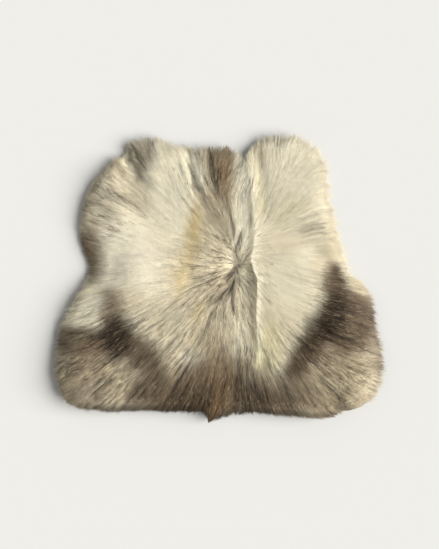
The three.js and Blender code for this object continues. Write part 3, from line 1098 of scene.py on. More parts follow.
def roughen(tree: bpy.types.NodeTree, source: bpy.types.NodeSocket, middle: float, spread: float) -> None:
    """Makes a material's roughness follow a value from 0 to 1, by spread about the middle.

    Args:
        tree: the material's tree.
        source: the value's socket.
        middle: the roughness at one half.
        spread: how much it varies.
    """
    rough = add_node(tree, "ShaderNodeMath", operation="MULTIPLY_ADD")
    rough.inputs[1].default_value = spread
    rough.inputs[2].default_value = middle - spread / 2
    tree.links.new(source, rough.inputs[0])
    tree.links.new(rough.outputs[0], tree.nodes["Principled BSDF"].inputs["Roughness"])


def emboss(
    tree: bpy.types.NodeTree, source: bpy.types.NodeSocket, strength: float, distance: float
) -> None:
    """Raises a material's surface where a value is high.

    Args:
        tree: the material's tree.
        source: the value's socket.
        strength: the bump's strength.
        distance: the bump's height.
    """
    bump = add_node(tree, "ShaderNodeBump", Strength=strength, Distance=distance)
    tree.links.new(source, bump.inputs["Height"])
    tree.links.new(bump.outputs["Normal"], tree.nodes["Principled BSDF"].inputs["Normal"])


# --- Finishes ----------------------------------------------------------------------------------------


@dataclass(frozen=True)
class HairFinish:
    """Guard hair: matte, a little silky, coloured along each strand by the piece's own attribute."""

    name: str = "guard_hair"
    attribute: str = "coat"
    roughness: float = 0.62
    roughness_spread: float = 0.18
    specular: float = 0.2
    sheen: float = 0.04
    grain_scale: float = 90.0
    grain_contrast: float = 0.12

    def material(self) -> bpy.types.Material:
        """Makes the material.

        Returns:
            The new material.
        """
        material, tree, surface = new_material(self.name)
        coat = add_node(tree, "ShaderNodeAttribute", attribute_name=self.attribute)
        grain = grained(tree, coat.outputs["Vector"], self.grain_scale, self.grain_contrast)
        roughen(tree, grain.outputs["Height"], self.roughness, self.roughness_spread)
        surface.inputs["Specular IOR Level"].default_value = self.specular
        surface.inputs["Sheen Weight"].default_value = self.sheen
        return material


@dataclass(frozen=True)
class WoolFinish:
    """Undercoat: dull and woolly, with the coat's colours in its own attribute."""

    name: str = "undercoat"
    attribute: str = "coat"
    roughness: float = 0.95
    specular: float = 0.1
    grain_scale: float = 650.0
    grain_contrast: float = 0.9
    bump_strength: float = 0.8
    bump_distance: float = 0.003

    def material(self) -> bpy.types.Material:
        """Makes the material.

        Returns:
            The new material.
        """
        material, tree, surface = new_material(self.name)
        coat = add_node(tree, "ShaderNodeAttribute", attribute_name=self.attribute)
        grain = grained(tree, coat.outputs["Vector"], self.grain_scale, self.grain_contrast)
        emboss(tree, grain.outputs["Height"], self.bump_strength, self.bump_distance)
        surface.inputs["Roughness"].default_value = self.roughness
        surface.inputs["Specular IOR Level"].default_value = self.specular
        return material


@dataclass(frozen=True)
class LeatherFinish:
    """Flesh side of the tanned skin: pale suede with mottling and a fine nap."""

    name: str = "tanned_skin"
    light: tuple[float, float, float] = (0.62, 0.52, 0.38)
    dark: tuple[float, float, float] = (0.44, 0.34, 0.23)
    mottle_scale: float = 9.0
    mottle_from: float = 0.35
    mottle_to: float = 0.65
    nap_scale: float = 900.0
    nap_contrast: float = 0.3
    roughness: float = 0.85
    roughness_spread: float = 0.15
    bump_strength: float = 0.6
    bump_distance: float = 0.0006

    def material(self) -> bpy.types.Material:
        """Makes the material.

        Returns:
            The new material.
        """
        material, tree, _ = new_material(self.name)
        place = tree.nodes.new("ShaderNodeTexCoord")
        mottle = add_node(tree, "ShaderNodeTexNoise", Scale=self.mottle_scale, Detail=6.0)
        tree.links.new(place.outputs["Object"], mottle.inputs["Vector"])
        ramp = tree.nodes.new("ShaderNodeValToRGB")
        ramp.color_ramp.elements[0].position = self.mottle_from
        ramp.color_ramp.elements[0].color = (*self.dark, 1)
        ramp.color_ramp.elements[1].position = self.mottle_to
        ramp.color_ramp.elements[1].color = (*self.light, 1)
        tree.links.new(mottle.outputs["Fac"], ramp.inputs["Fac"])
        nap = grained(tree, ramp.outputs["Color"], self.nap_scale, self.nap_contrast)
        roughen(tree, mottle.outputs["Fac"], self.roughness, self.roughness_spread)
        emboss(tree, nap.outputs["Height"], self.bump_strength, self.bump_distance)
        return material


# --- Skin and undercoat ------------------------------------------------------------------------------


def share_along(grid: np.ndarray, crowding: float) -> np.ndarray:
    """Moves evenly spaced shares towards both ends, so that edges get closer rows."""
    return grid - crowding * np.sin(2 * math.pi * grid) / (2 * math.pi)


def off_skin(skin: np.ndarray, hair: np.ndarray, height: float) -> np.ndarray:
    """Points at a height above the skin, towards the hair's outer side."""
    out = hair - skin
    return skin + out / np.linalg.norm(out, axis=1)[:, None] * height


Layer = Callable[[np.ndarray, np.ndarray], np.ndarray]


@dataclass
class Blanket:
    """A closed sheet that follows the whole hide, between two depths of its pile."""

    form: HideForm
    columns: int = 90
    rows: int = 150
    side_inset: float = 0.024
    end_inset: float = 0.034
    crowding: float = 0.75
    end_crowding: float = 0.25
    upper_rows: float = 0.58
    fold_rows: float = 0.16

    def places(self, grid: np.ndarray) -> tuple[np.ndarray, np.ndarray]:
        """Places on the hide for the corners of a flat grid.

        Args:
            grid: x and y of the corners, from -1 to 1.

        Returns:
            Shares across and runs along the hide.
        """
        across = share_along((grid[:, 0] + 1) / 2, self.crowding)
        along_it = (1 - grid[:, 1]) / 2
        knots = [0, self.upper_rows, self.upper_rows + self.fold_rows, 1]
        run = np.interp(along_it, knots, [0, 1, 2, 3])
        run = np.where(run < 1, 1 - self.crowded_share(1 - run), run)
        run = np.where(run > 2, 2 + self.crowded_share(run - 2), run)
        inset = self.side_inset / self.form.width()
        return inset + (1 - 2 * inset) * across, run

    def crowded_share(self, share: np.ndarray) -> np.ndarray:
        """Share of a layer from the fold, ending the inset short of its free edge."""
        last = 1 - self.end_inset / self.form.lower_length
        return last * np.clip(share, 0, 1) ** (1 - self.end_crowding)

    def build(self, name: str, inner: Layer, outer: Layer) -> bpy.types.Object:
        """Makes the closed mesh.

        Args:
            name: the object's name.
            inner: a function of skin and hair points that gives the skin side's points.
            outer: the same for the hair side.

        Returns:
            The new object, at the origin.
        """
        bm = bmesh.new()
        bmesh.ops.create_grid(bm, x_segments=self.columns, y_segments=self.rows, size=1.0)
        hair_side = bm.verts[:]
        made = bmesh.ops.duplicate(bm, geom=bm.verts[:] + bm.edges[:] + bm.faces[:])["geom"]
        skin_side = [v for v in made if isinstance(v, bmesh.types.BMVert)]
        bmesh.ops.reverse_faces(bm, faces=[f for f in made if isinstance(f, bmesh.types.BMFace)])
        bmesh.ops.bridge_loops(bm, edges=[e for e in bm.edges if e.is_boundary])
        for verts, points in ((hair_side, outer), (skin_side, inner)):
            grid = np.array([v.co[:2] for v in verts])
            placed = points(*self.form.at(*self.places(grid)))
            for vert, place in zip(verts, placed):
                vert.co = place
        bmesh.ops.recalc_face_normals(bm, faces=bm.faces[:])
        mesh = bpy.data.meshes.new(name)
        bm.to_mesh(mesh)
        bm.free()
        mesh.shade_smooth()
        return new_object(name, mesh)


@dataclass
class Skin:
    """The tanned skin: one sheet through both layers and the fold."""

    form: HideForm
    finish: LeatherFinish = LeatherFinish()
    thickness: float = 0.002
    columns: int = 50
    rows: int = 90

    def build(self) -> bpy.types.Object:
        """Makes and dresses the sheet.

        Returns:
            The finished sheet.
        """
        blanket = Blanket(self.form, columns=self.columns, rows=self.rows)
        piece = blanket.build("hide_skin", lambda skin, hair: skin, self.hair_side)
        piece.data.materials.append(self.finish.material())
        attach(piece, BODY)
        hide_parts(NODE)
        return piece

    def hair_side(self, skin: np.ndarray, hair: np.ndarray) -> np.ndarray:
        """Points of the side that the hair grows from."""
        return off_skin(skin, hair, self.thickness)

    def flat_size(self, piece: bpy.types.Object) -> tuple[tuple[float, float], float]:
        """Width and length of the skin laid out, and its area.

        Args:
            piece: the finished sheet.

        Returns:
            The size, and the flat area, which is half the sheet's surface.
        """
        area = sum(face.area for face in piece.data.polygons) / 2
        blanket = Blanket(self.form)
        width = self.form.width() - 2 * blanket.side_inset
        length = self.form.length() - 2 * blanket.end_inset
        return (width, length), min(area, width * length)


@dataclass
class Undercoat:
    """The dense wool under the guard hair, which fills the pile's inner part."""

    form: HideForm
    pattern: CoatPattern
    finish: WoolFinish = WoolFinish()
    columns: int = 84
    rows: int = 120
    skin_side: float = 0.0022
    depth_share: float = 0.76
    least_wool: float = 0.001
    # painted shade: the wool's darkening is partly its own duller colour, partly painted shade deep in
    # the pile
    shade: float = 0.72

    def build(self) -> bpy.types.Object:
        """Makes and dresses the undercoat.

        Returns:
            The finished undercoat.
        """
        blanket = Blanket(self.form, columns=self.columns, rows=self.rows)
        piece = blanket.build("hide_undercoat", self.inner, self.outer)
        self.colour(piece.data)
        piece.data.materials.append(self.finish.material())
        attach(piece, BODY)
        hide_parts(NODE)
        return piece

    def inner(self, skin: np.ndarray, hair: np.ndarray) -> np.ndarray:
        """Points just off the skin."""
        return off_skin(skin, hair, self.skin_side)

    def outer(self, skin: np.ndarray, hair: np.ndarray) -> np.ndarray:
        """Points at the wool's outer face.

        Args:
            skin: points of the skin.
            hair: points of the hair's outer side.

        Returns:
            One point for each pair.
        """
        pile = np.linalg.norm(hair - skin, axis=1)[:, None]
        share = np.maximum(self.depth_share, (self.skin_side + self.least_wool) / pile)
        return skin + (hair - skin) * share

    def colour(self, mesh: bpy.types.Mesh) -> None:
        """Gives each corner of the wool the coat's colour above it, darkened: partly the wool's own
        duller colour, partly painted shade deep in the pile.

        Args:
            mesh: the undercoat's mesh.
        """
        points = np.empty(len(mesh.vertices) * 3)
        mesh.vertices.foreach_get("co", points)
        points = points.reshape(-1, 3) - self.form.shift
        colours = self.pattern.colour(points[:, 0], points[:, 1]) * self.shade
        paint(mesh, self.finish.attribute, colours)


# --- Guard hair --------------------------------------------------------------------------------------


@dataclass(frozen=True)
class StrandShape:
    """One closed strand: a root, a ring of three corners at a share of its length, and a tip."""

    ring_at: float = 0.45
    root: int = 0
    tip: int = 4
    map_margin: float = 0.08
    map_side: float = 0.1

    def faces(self) -> np.ndarray:
        """The triangles, facing out.

        Returns:
            The numbers of the corners of each triangle.
        """
        found = []
        for side in range(3):
            here, following = 1 + side, 1 + (side + 1) % 3
            found += [(self.root, following, here), (self.tip, here, following)]
        return np.array(found)

    def map_corners(self) -> np.ndarray:
        """Places of the faces' corners in the strand's own square of the bake map.

        Returns:
            Two shares of the square for each corner of each face.
        """
        levels = {self.root: 0, self.tip: 1}
        places = []
        for face in self.faces():
            first = min(corner for corner in face if corner not in levels)
            for corner in face:
                level = levels.get(corner, self.ring_at)
                across = self.map_side if corner == first else 1 - self.map_side
                across = 0.5 if corner in levels else across
                places.append((across, self.map_margin + (1 - 2 * self.map_margin) * level))
        return np.array(places)


class Zone(Enum):
    """Parts of the coat, each a piece of its own."""

    SHOULDER_LEFT = "hair_shoulder_left"
    SHOULDER_RIGHT = "hair_shoulder_right"
    BACK = "hair_back"
    FLANK_LEFT = "hair_flank_left"
    FLANK_RIGHT = "hair_flank_right"
    FOLD = "hair_fold"
    UNDERSIDE = "hair_underside"


@dataclass(frozen=True)
class Wisp:
    """A lock drawn to a point of its own: where it grows, how wide it is and where its tip lies."""

    x: float
    y: float
    reach: float
    tip_x: float
    tip_y: float
    tip_z: float
    draw: float = 0.8


@dataclass
class Places:
    """Places on the hair side: shares across and metres along the hair, with what is found there.

    per_across and per_along are the moves of the hair side for each share across and metre along. out
    is the way out of the skin. plan is x and y on the hide laid out past the fold, and seen is x and y
    where the coat's colours are read. upper is true on the upper layer.
    """

    across: np.ndarray
    along: np.ndarray
    skin: np.ndarray
    hair: np.ndarray
    per_across: np.ndarray
    per_along: np.ndarray
    out: np.ndarray
    plan: np.ndarray
    seen: np.ndarray
    upper: np.ndarray

    def count(self) -> int:
        """Number of places."""
        return len(self.across)

    def pile(self) -> np.ndarray:
        """Depth of the pile at the places."""
        return np.linalg.norm(self.hair - self.skin, axis=1)


@dataclass
class CoatSurface:
    """The hair side as one sheet that runs from the free end over the fold to the lower end."""

    form: HideForm
    upper_length: float = 0.70
    fold_length: float = 0.13
    across_step: float = 0.004
    along_step: float = 0.003
    edge_slope: float = -0.1
    least_area: float = 1e-4

    def length(self) -> float:
        """Length of the hair side along the middle."""
        return self.upper_length + self.fold_length + self.form.lower_length

    def points(self, across: np.ndarray, along_it: np.ndarray) -> tuple[np.ndarray, np.ndarray]:
        """Skin and hair points at places.

        Args:
            across: shares of the way across.
            along_it: metres along the hair, from the free end.

        Returns:
            Two arrays of points.
        """
        fold_start, fold_end = self.upper_length, self.upper_length + self.fold_length
        run = np.interp(along_it, [0, fold_start, fold_end, self.length()], [0, 1, 2, 3])
        return self.form.at(across, run)

    def places(self, across: np.ndarray, along_it: np.ndarray) -> Places:
        """Places with their frames. Places past an edge lie on its extension in the plane.

        Args:
            across: shares of the way across.
            along_it: metres along the hair.

        Returns:
            The places.
        """
        a, s = np.clip(across, 0, 1), np.clip(along_it, 0, self.length())
        skin, hair = self.points(a, s)
        a_high, a_low = np.clip(a + self.across_step, 0, 1), np.clip(a - self.across_step, 0, 1)
        s_high, s_low = s + self.along_step, s - self.along_step
        s_high, s_low = np.clip(s_high, 0, self.length()), np.clip(s_low, 0, self.length())
        per_across = self.points(a_high, s)[1] - self.points(a_low, s)[1]
        per_across = per_across / (a_high - a_low)[:, None]
        per_along = self.points(a, s_high)[1] - self.points(a, s_low)[1]
        per_along = per_along / (s_high - s_low)[:, None]
        out = unit(np.cross(per_along, per_across))
        past = per_across * (across - a)[:, None] + per_along * (along_it - s)[:, None]
        upper = s < self.upper_length
        past[:, 2] = np.where(upper, self.edge_slope * np.linalg.norm(past[:, :2], axis=1), 0)
        x, y = (hair[:, :2] - self.form.shift[:2]).T
        fold_y = self.form.fold_y(a)
        plan = np.stack([x, np.where(upper, y, fold_y + self.upper_length - s)], 1)
        under = s > self.upper_length + self.fold_length
        seen = np.stack([x, np.where(upper, y, np.where(under, fold_y, np.minimum(y, fold_y)))], 1)
        skin, hair = skin + past, hair + past
        return Places(across, along_it, skin, hair, per_across, per_along, out, plan, seen, upper)

    def walk(self, start: Places, flow: np.ndarray, distance: np.ndarray) -> Places:
        """Follows the hair side from places.

        Args:
            start: where to start.
            flow: the way to go, in the plane of the hide laid out.
            distance: how far to go.

        Returns:
            The places arrived at.
        """
        ax, ay = start.per_across[:, 0], start.per_across[:, 1]
        sx, sy = start.per_along[:, 0], start.per_along[:, 1]
        area = ax * sy - ay * sx
        area = np.where(np.abs(area) < self.least_area, -self.least_area, area)
        go_across = (flow[:, 0] * sy - flow[:, 1] * sx) / area
        go_along = (flow[:, 1] * ax - flow[:, 0] * ay) / area
        turned_across = flow[:, 0] / np.linalg.norm(start.per_across, axis=1)
        turned_along = -flow[:, 1] / np.linalg.norm(start.per_along, axis=1)
        go_across = np.where(start.upper, go_across, turned_across)
        go_along = np.where(start.upper, go_along, turned_along)
        way = start.per_across * go_across[:, None] + start.per_along * go_along[:, None]
        scale = distance / np.maximum(np.linalg.norm(way, axis=1), 1e-9)
        return self.places(start.across + go_across * scale, start.along + go_along * scale)


@dataclass
class Strands:
    """Strands, one row for each: roots, middles of the rings, tips, and the places of the last two."""

    root: np.ndarray
    ring: np.ndarray
    tip: np.ndarray
    at_ring: Places
    at_tip: Places


@dataclass
class Locks:
    """Locks that the strands are drawn into, one row for each, and the number of each strand's lock."""

    of: np.ndarray
    clump: np.ndarray
    turn: np.ndarray
    length: np.ndarray
    lift: np.ndarray
    shade: np.ndarray
    dark: np.ndarray
    ring: np.ndarray
    tip: np.ndarray


@dataclass
class GuardHair:
    """The outer coat: strands rooted in the undercoat, lying as the coat does and drawn into locks."""

    form: HideForm
    pattern: CoatPattern
    lie: CoatLie
    finish: HairFinish = HairFinish()
    shape: StrandShape = StrandShape()
    outline: Outline = Outline()
    # how many there are and where they grow
    strands: int = 150_000
    locks: int = 12_000
    big_locks: int = 900
    root_columns: int = 140
    root_rows: int = 300
    side_inset: float = 0.026
    end_inset: float = 0.034
    side_reach: float = 0.05
    end_reach: float = 0.07
    lower_end_reach: float = 0.06
    edge_density: float = 0.4
    under_density: float = 0.05
    under_edge_density: float = 0.5
    thinner_from: float = 0.04
    thinner_past: float = 0.01
    # the size of a strand and its depth in the coat
    radius: float = 0.00068
    radius_spread: float = 0.3
    flatness: float = 0.5
    steep_axis: float = 0.9
    root_depth: float = 0.74
    ring_sink: float = 0.0035
    ring_sink_share: float = 0.2
    tip_sink: float = 0.0020
    floor_clearance: float = 0.0009
    # how strands and locks differ from the lie of the coat
    length_spread: float = 0.22
    strand_turn: float = 0.10
    strand_lift: float = 0.04
    lock_turn: float = 0.10
    lock_lift: float = 0.06
    lock_length: tuple[float, float] = (-0.15, 0.2)
    big_lock_turn: float = 0.14
    big_lock_length: tuple[float, float] = (-0.15, 0.15)
    thin_pile: tuple[float, float] = (0.55, 0.95)
    edge_clump: float = 0.4
    plain_uneven: float = 0.35
    plain_draw: float = 0.10
    clump_draw: float = 0.55
    draw_spread: tuple[float, float] = (0.4, 1.2)
    ring_draw: float = 0.35
    tip_turn: float = 1.6
    tip_upward: float = 0.6
    # how the coat is pressed in along its streaks and partings
    streak_height: float = 0.0011
    plain_streak: float = 0.08
    streak_press: tuple[float, float] = (-1.5, 2.5)
    broad_share: float = 0.7
    most_press: float = 0.35
    tip_press: float = 0.8
    # how it ends at the edges and at the fold
    loose_pile: tuple[float, float] = (0.3, 0.85)
    edge_drop: float = -0.15
    fold_drop: float = -0.32
    fold_loose: float = 0.6
    fold_loose_turn: float = 2.0
    fold_near: tuple[float, float] = (-0.035, 0.005)
    fold_past: tuple[float, float] = (0.035, 0.055)
    edge_reach: float = -0.002
    edge_reach_spread: float = 0.004
    stray_reach: float = 0.0045
    shortest: float = 0.25
    height_kept: float = 0.9
    flat_out: tuple[float, float] = (0.8, 1.0)
    wisp_share: tuple[float, float] = (0.6, 1.0)
    wisp_core: float = 0.5
    wisp_lowest_out: float = -0.3
    wisp_ring_draw: float = 0.3
    # how its colours differ from the pattern's
    strand_shade: float = 0.21
    lock_shade: float = 0.10
    plain_shade: float = 0.1
    streak_shade: float = 0.015
    streak_fleck_shade: float = 0.17
    streak_most: float = 2.0
    # painted shade: in the gaps between locks, deep in the coat towards the roots, and on the front of
    # the fold
    gap_shade: float = 0.45
    gap_level: float = 0.8
    depth_shades: tuple[float, float, float] = (0.35, 0.0, -0.05)
    depth_plain: float = 0.3
    fold_shade: float = 0.4
    shade_limits: tuple[float, float] = (0.35, 1.8)
    brightest: float = 0.95
    colour_follow: float = 0.85
    colour_jitter: float = 0.005
    side_jitter: float = 0.0015
    odd_from: float = 0.1
    odd_most: float = 0.8
    odd_amount: tuple[float, float] = (0.2, 0.7)
    odd_dark: float = 0.22
    odd_dark_lock: float = 0.16
    odd_pale: float = 0.16
    pale_coat: float = 0.2
    # where the zones part
    front_y: float = -0.10
    side_across: float = 0.36
    wisps: tuple[Wisp, ...] = table(
        Wisp, 6,
        # the pointed tuft at the fold
        (8, -345, 36, -19, -396, 18, 0.95), (38, -352, 26, 26, -384, 18, 0.7),
        (74, -354, 24, 66, -374, 18, 0.5),
        # the locks of the left shoulder
        (-244, 278, 18, -270, 322, 30, 0.55), (-280, 240, 16, -312, 264, 28, 0.45),
        (-312, 202, 18, -349, 216, 26, 0.45), (-325, 148, 20, -368, 158, 24, 0.5),
        (-320, 88, 20, -362, 98, 24, 0.4),
        # the ends of the lobes
        (-205, 345, 16, -222, 380, 30, 0.5), (-150, 350, 18, -160, 390, 30, 0.5),
        (30, 335, 15, 36, 368, 30, 0.5), (150, 352, 14, 152, 396, 34, 0.6),
        (205, 358, 16, 222, 396, 34, 0.6),
        # the right shoulder
        (275, 300, 12, 322, 318, 34, 0.6), (285, 280, 10, 328, 298, 34, 0.6),
        (285, 245, 12, 330, 252, 34, 0.6), (290, 195, 14, 330, 190, 30, 0.5),
    )

    def build(self) -> list[bpy.types.Object]:
        """Makes and dresses all pieces of the coat.

        Returns:
            One piece for each zone.
        """
        rng = np.random.default_rng(SEED)
        surface = CoatSurface(self.form)
        start = self.start(rng, surface, self.strands)
        corners, colours, ring = self.grow(rng, surface, start)
        material = self.finish.material()
        pieces = []
        for zone in Zone:
            chosen = self.in_zone(ring, surface, zone)
            piece = self.piece(zone.value, corners[chosen], colours[chosen])
            piece.data.materials.append(material)
            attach(piece, BODY)
            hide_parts(NODE)
            pieces.append(piece)
        return pieces

    def density(self, surface: CoatSurface, across: np.ndarray, along_it: np.ndarray) -> np.ndarray:
        """Strands wanted for each square metre, relative to the upper layer's middle.

        Args:
            surface: the hair side.
            across: shares of the way across.
            along_it: metres along the hair.

        Returns:
            One value for each place.
        """
        edge = np.minimum(across, 1 - across) * self.form.width()
        near_side = np.exp(-((edge / self.side_reach) ** 2))
        near_end = np.exp(-((along_it / self.end_reach) ** 2))
        upper = 1 + self.edge_density * np.maximum(near_side, near_end)
        low_end = np.exp(-(((along_it - surface.length()) / self.lower_end_reach) ** 2))
        under = self.under_density + self.under_edge_density * np.maximum(near_side, low_end)
        fold_start, fold_end = surface.upper_length, surface.upper_length + surface.fold_length
        past = smoothstep(along_it, fold_start + self.thinner_from, fold_end + self.thinner_past)
        return upper + (under - upper) * past

    def start(self, rng: np.random.Generator, surface: CoatSurface, count: int) -> Places:
        """Draws places for roots, evenly by area and density.

        Args:
            rng: the source of random numbers.
            surface: the hair side.
            count: how many.

        Returns:
            The places.
        """
        side = self.side_inset / self.form.width()
        across_edges = np.linspace(side, 1 - side, self.root_columns + 1)
        last = surface.length() - self.side_inset
        along_edges = np.linspace(self.end_inset, last, self.root_rows + 1)
        middle_across = (across_edges[1:] + across_edges[:-1]) / 2
        middle_along = (along_edges[1:] + along_edges[:-1]) / 2
        across, along_it = (grid.ravel() for grid in np.meshgrid(middle_across, middle_along))
        cells = surface.places(across, along_it)
        area = np.linalg.norm(np.cross(cells.per_across, cells.per_along), axis=1)
        weight = area * self.density(surface, across, along_it)
        cell = rng.choice(len(weight), size=count, p=weight / weight.sum())
        step_across = (across_edges[1] - across_edges[0]) / 2
        step_along = (along_edges[1] - along_edges[0]) / 2
        across = across[cell] + rng.uniform(-1, 1, count) * step_across
        along_it = along_it[cell] + rng.uniform(-1, 1, count) * step_along
        return surface.places(across, along_it)

    def grow(
        self, rng: np.random.Generator, surface: CoatSurface, start: Places
    ) -> tuple[np.ndarray, np.ndarray, Places]:
        """Grows every strand.

        Args:
            rng: the source of random numbers.
            surface: the hair side.
            start: where the strands grow.

        Returns:
            The corners of every strand, their colours and the places of their rings.
        """
        count = start.count()
        locks = self.gather(rng, surface, start)
        uneven = self.plain_uneven + locks.clump[locks.of]
        turn = locks.turn[locks.of] + rng.normal(0, self.strand_turn, count) * uneven
        spread = rng.uniform(1 - self.length_spread, 1 + self.length_spread, count)
        length = locks.length[locks.of] * spread
        lift = locks.lift[locks.of] + rng.normal(0, self.strand_lift, count) * uneven
        strands = self.lay(surface, start, turn, length, lift)
        self.draw_together(rng, strands, locks)
        streak = self.press_in(strands)
        self.trim(rng, strands, locks.of)
        self.draw_wisps(rng, strands)
        radius = self.radius * rng.uniform(1 - self.radius_spread, 1 + self.radius_spread, count)
        corners = self.corners(strands, radius)
        corners[..., 2] = np.maximum(corners[..., 2], self.floor_clearance)
        colours = self.colours(rng, (start, strands.at_ring, strands.at_tip), streak, locks)
        return corners, colours, strands.at_ring

    def gather(self, rng: np.random.Generator, surface: CoatSurface, start: Places) -> Locks:
        """Draws the locks, small ones within big ones, and shares the strands out among them.

        Args:
            rng: the source of random numbers.
            surface: the hair side.
            start: where the strands grow.

        Returns:
            The locks.
        """
        lock_start = self.start(rng, surface, self.locks)
        big_start = self.start(rng, surface, self.big_locks)
        big_of = nearest(big_start.hair, lock_start.hair)
        clump = self.lie.clump(*lock_start.plan.T)
        edge = 1 - smoothstep(lock_start.pile() / self.form.upper_pile, *self.thin_pile)
        clump = np.minimum(clump + self.edge_clump * edge * lock_start.upper, 1)
        turn = rng.normal(0, self.lock_turn, self.locks)
        turn = (turn + rng.normal(0, self.big_lock_turn, self.big_locks)[big_of]) * clump
        length = 1 + rng.uniform(*self.lock_length, self.locks) * clump
        length *= 1 + rng.uniform(*self.big_lock_length, self.big_locks)[big_of] * clump
        lift = rng.normal(0, self.lock_lift, self.locks)
        lift = (lift + rng.normal(0, self.lock_lift, self.big_locks)[big_of]) * clump
        shade = rng.normal(0, self.lock_shade, self.locks)
        dark = rng.uniform(0, 1, self.locks)
        laid = self.lay(surface, lock_start, turn, length, lift)
        of = nearest(lock_start.hair, start.hair)
        return Locks(of, clump, turn, length, lift, shade, dark, laid.ring, laid.tip)

    def lay(
        self, surface: CoatSurface, start: Places, turn: np.ndarray, length: np.ndarray, lift: np.ndarray
    ) -> Strands:
        """Lays strands along the coat.

        Args:
            surface: the hair side.
            start: where the strands grow.
            turn: turn of each strand off the coat's lie, in radians.
            length: length of each strand, as a share of the coat's length there.
            lift: extra lift of each strand's outer part, in radians.

        Returns:
            The strands.
        """
        x, y = start.plan.T
        reach = self.lie.length(x, y) * length
        inner, outer = reach * self.shape.ring_at, reach * (1 - self.shape.ring_at)
        root = start.skin + (start.hair - start.skin) * self.root_depth
        at_ring = surface.walk(start, turned(self.lie.direction(x, y), turn), inner)
        ring_sink = np.minimum(self.ring_sink, at_ring.pile() * self.ring_sink_share)
        ring = at_ring.hair - at_ring.out * ring_sink[:, None]
        x, y = at_ring.plan.T
        flow = turned(self.lie.direction(x, y), turn * self.tip_turn)
        at_tip = surface.walk(at_ring, flow, outer)
        rise = np.sin(self.lie.lift(x, y) + lift) * outer - self.tip_sink
        raised = unit(at_tip.out + np.array([0, 0, self.tip_upward]) * at_tip.upper[:, None])
        tip = at_tip.hair + raised * rise[:, None]
        loose = 1 - smoothstep(at_tip.pile() / self.form.upper_pile, *self.loose_pile)
        loose = loose * at_ring.upper * self.lie.loose(x, y)
        by_fold = self.by_fold(surface, at_ring)
        drop = self.edge_drop + (self.fold_drop - self.edge_drop) * by_fold
        away = unit(np.concatenate([flow, (drop + lift)[:, None]], 1))
        fold_loose = (self.fold_loose + turn * self.fold_loose_turn).clip(0, 1)
        loose = np.maximum(loose, by_fold * fold_loose)
        tip = tip + (ring + away * outer[:, None] - tip) * loose[:, None]
        return Strands(root, ring, tip, at_ring, at_tip)

    def by_fold(self, surface: CoatSurface, at: Places) -> np.ndarray:
        """How near places are to the front of the fold, from 0 to 1."""
        way = at.along - surface.upper_length
        return smoothstep(way, *self.fold_near) * (1 - smoothstep(way, *self.fold_past))

    def draw_together(self, rng: np.random.Generator, strands: Strands, locks: Locks) -> None:
        """Draws the strands towards the middles of their locks.

        Args:
            rng: the source of random numbers.
            strands: the strands.
            locks: the strands' locks.
        """
        draw = self.plain_draw + self.clump_draw * locks.clump[locks.of]
        draw = (draw * rng.uniform(*self.draw_spread, len(draw)))[:, None]
        strands.tip = strands.tip + (locks.tip[locks.of] - strands.tip) * draw
        strands.ring = strands.ring + (locks.ring[locks.of] - strands.ring) * draw * self.ring_draw

    def press_in(self, strands: Strands) -> np.ndarray:
        """Presses the strands in along the partings and the low streaks.

        Args:
            strands: the strands.

        Returns:
            The streaks' value at each strand.
        """
        fine = Streaks(self.lie, cell=0.0040, step=0.009, steps=4, seed=SEED + 1)
        broad = Streaks(self.lie, cell=0.0065, step=0.016, steps=4, seed=SEED + 2)
        at = strands.at_ring
        x, y = at.plan.T
        streak = fine.at(x, y) + broad.at(x, y) * self.broad_share
        height = self.streak_height * (self.plain_streak + self.lie.clump(x, y))
        press = self.pattern.groove(x, y) + np.clip(-streak, *self.streak_press) * height
        press = np.minimum(press, at.pile() * self.most_press)[:, None]
        strands.ring = strands.ring - at.out * press
        strands.tip = strands.tip - at.out * press * self.tip_press
        return np.clip(streak, -self.streak_most, self.streak_most)

    def trim(self, rng: np.random.Generator, strands: Strands, lock_of: np.ndarray) -> None:
        """Shortens the strands that reach too far past the outline.

        Args:
            rng: the source of random numbers.
            strands: the strands.
            lock_of: the number of each strand's lock.
        """
        allowed = self.edge_reach + rng.exponential(self.stray_reach, len(lock_of))
        allowed += rng.normal(0, self.edge_reach_spread, self.locks)[lock_of]
        whole = np.linalg.norm(strands.tip - strands.root, axis=1)
        kept = np.ones(len(lock_of))
        for _ in range(2):
            place = self.cut_back(strands, strands.tip, kept) - self.form.shift
            past = self.outline.outside(place[:, 0], place[:, 1]) - allowed
            kept = np.maximum(kept - np.maximum(past, 0) / whole, self.shortest)
        strands.ring = self.cut_back(strands, strands.ring, kept)
        strands.tip = self.cut_back(strands, strands.tip, kept)

    def cut_back(self, strands: Strands, point: np.ndarray, kept: np.ndarray) -> np.ndarray:
        """Points of shortened strands, which lose more of their reach along the skin than out of it.

        Args:
            strands: the strands.
            point: a point of each, before it is shortened.
            kept: the share of each strand's length that is kept.

        Returns:
            The new points.
        """
        root, out = strands.root, strands.at_ring.out
        height = np.sum((point - root) * out, axis=1, keepdims=True) * out
        raised = np.maximum(kept, self.height_kept * smoothstep(out[:, 2], *self.flat_out))[:, None]
        return root + height * raised + (point - root - height) * kept[:, None]

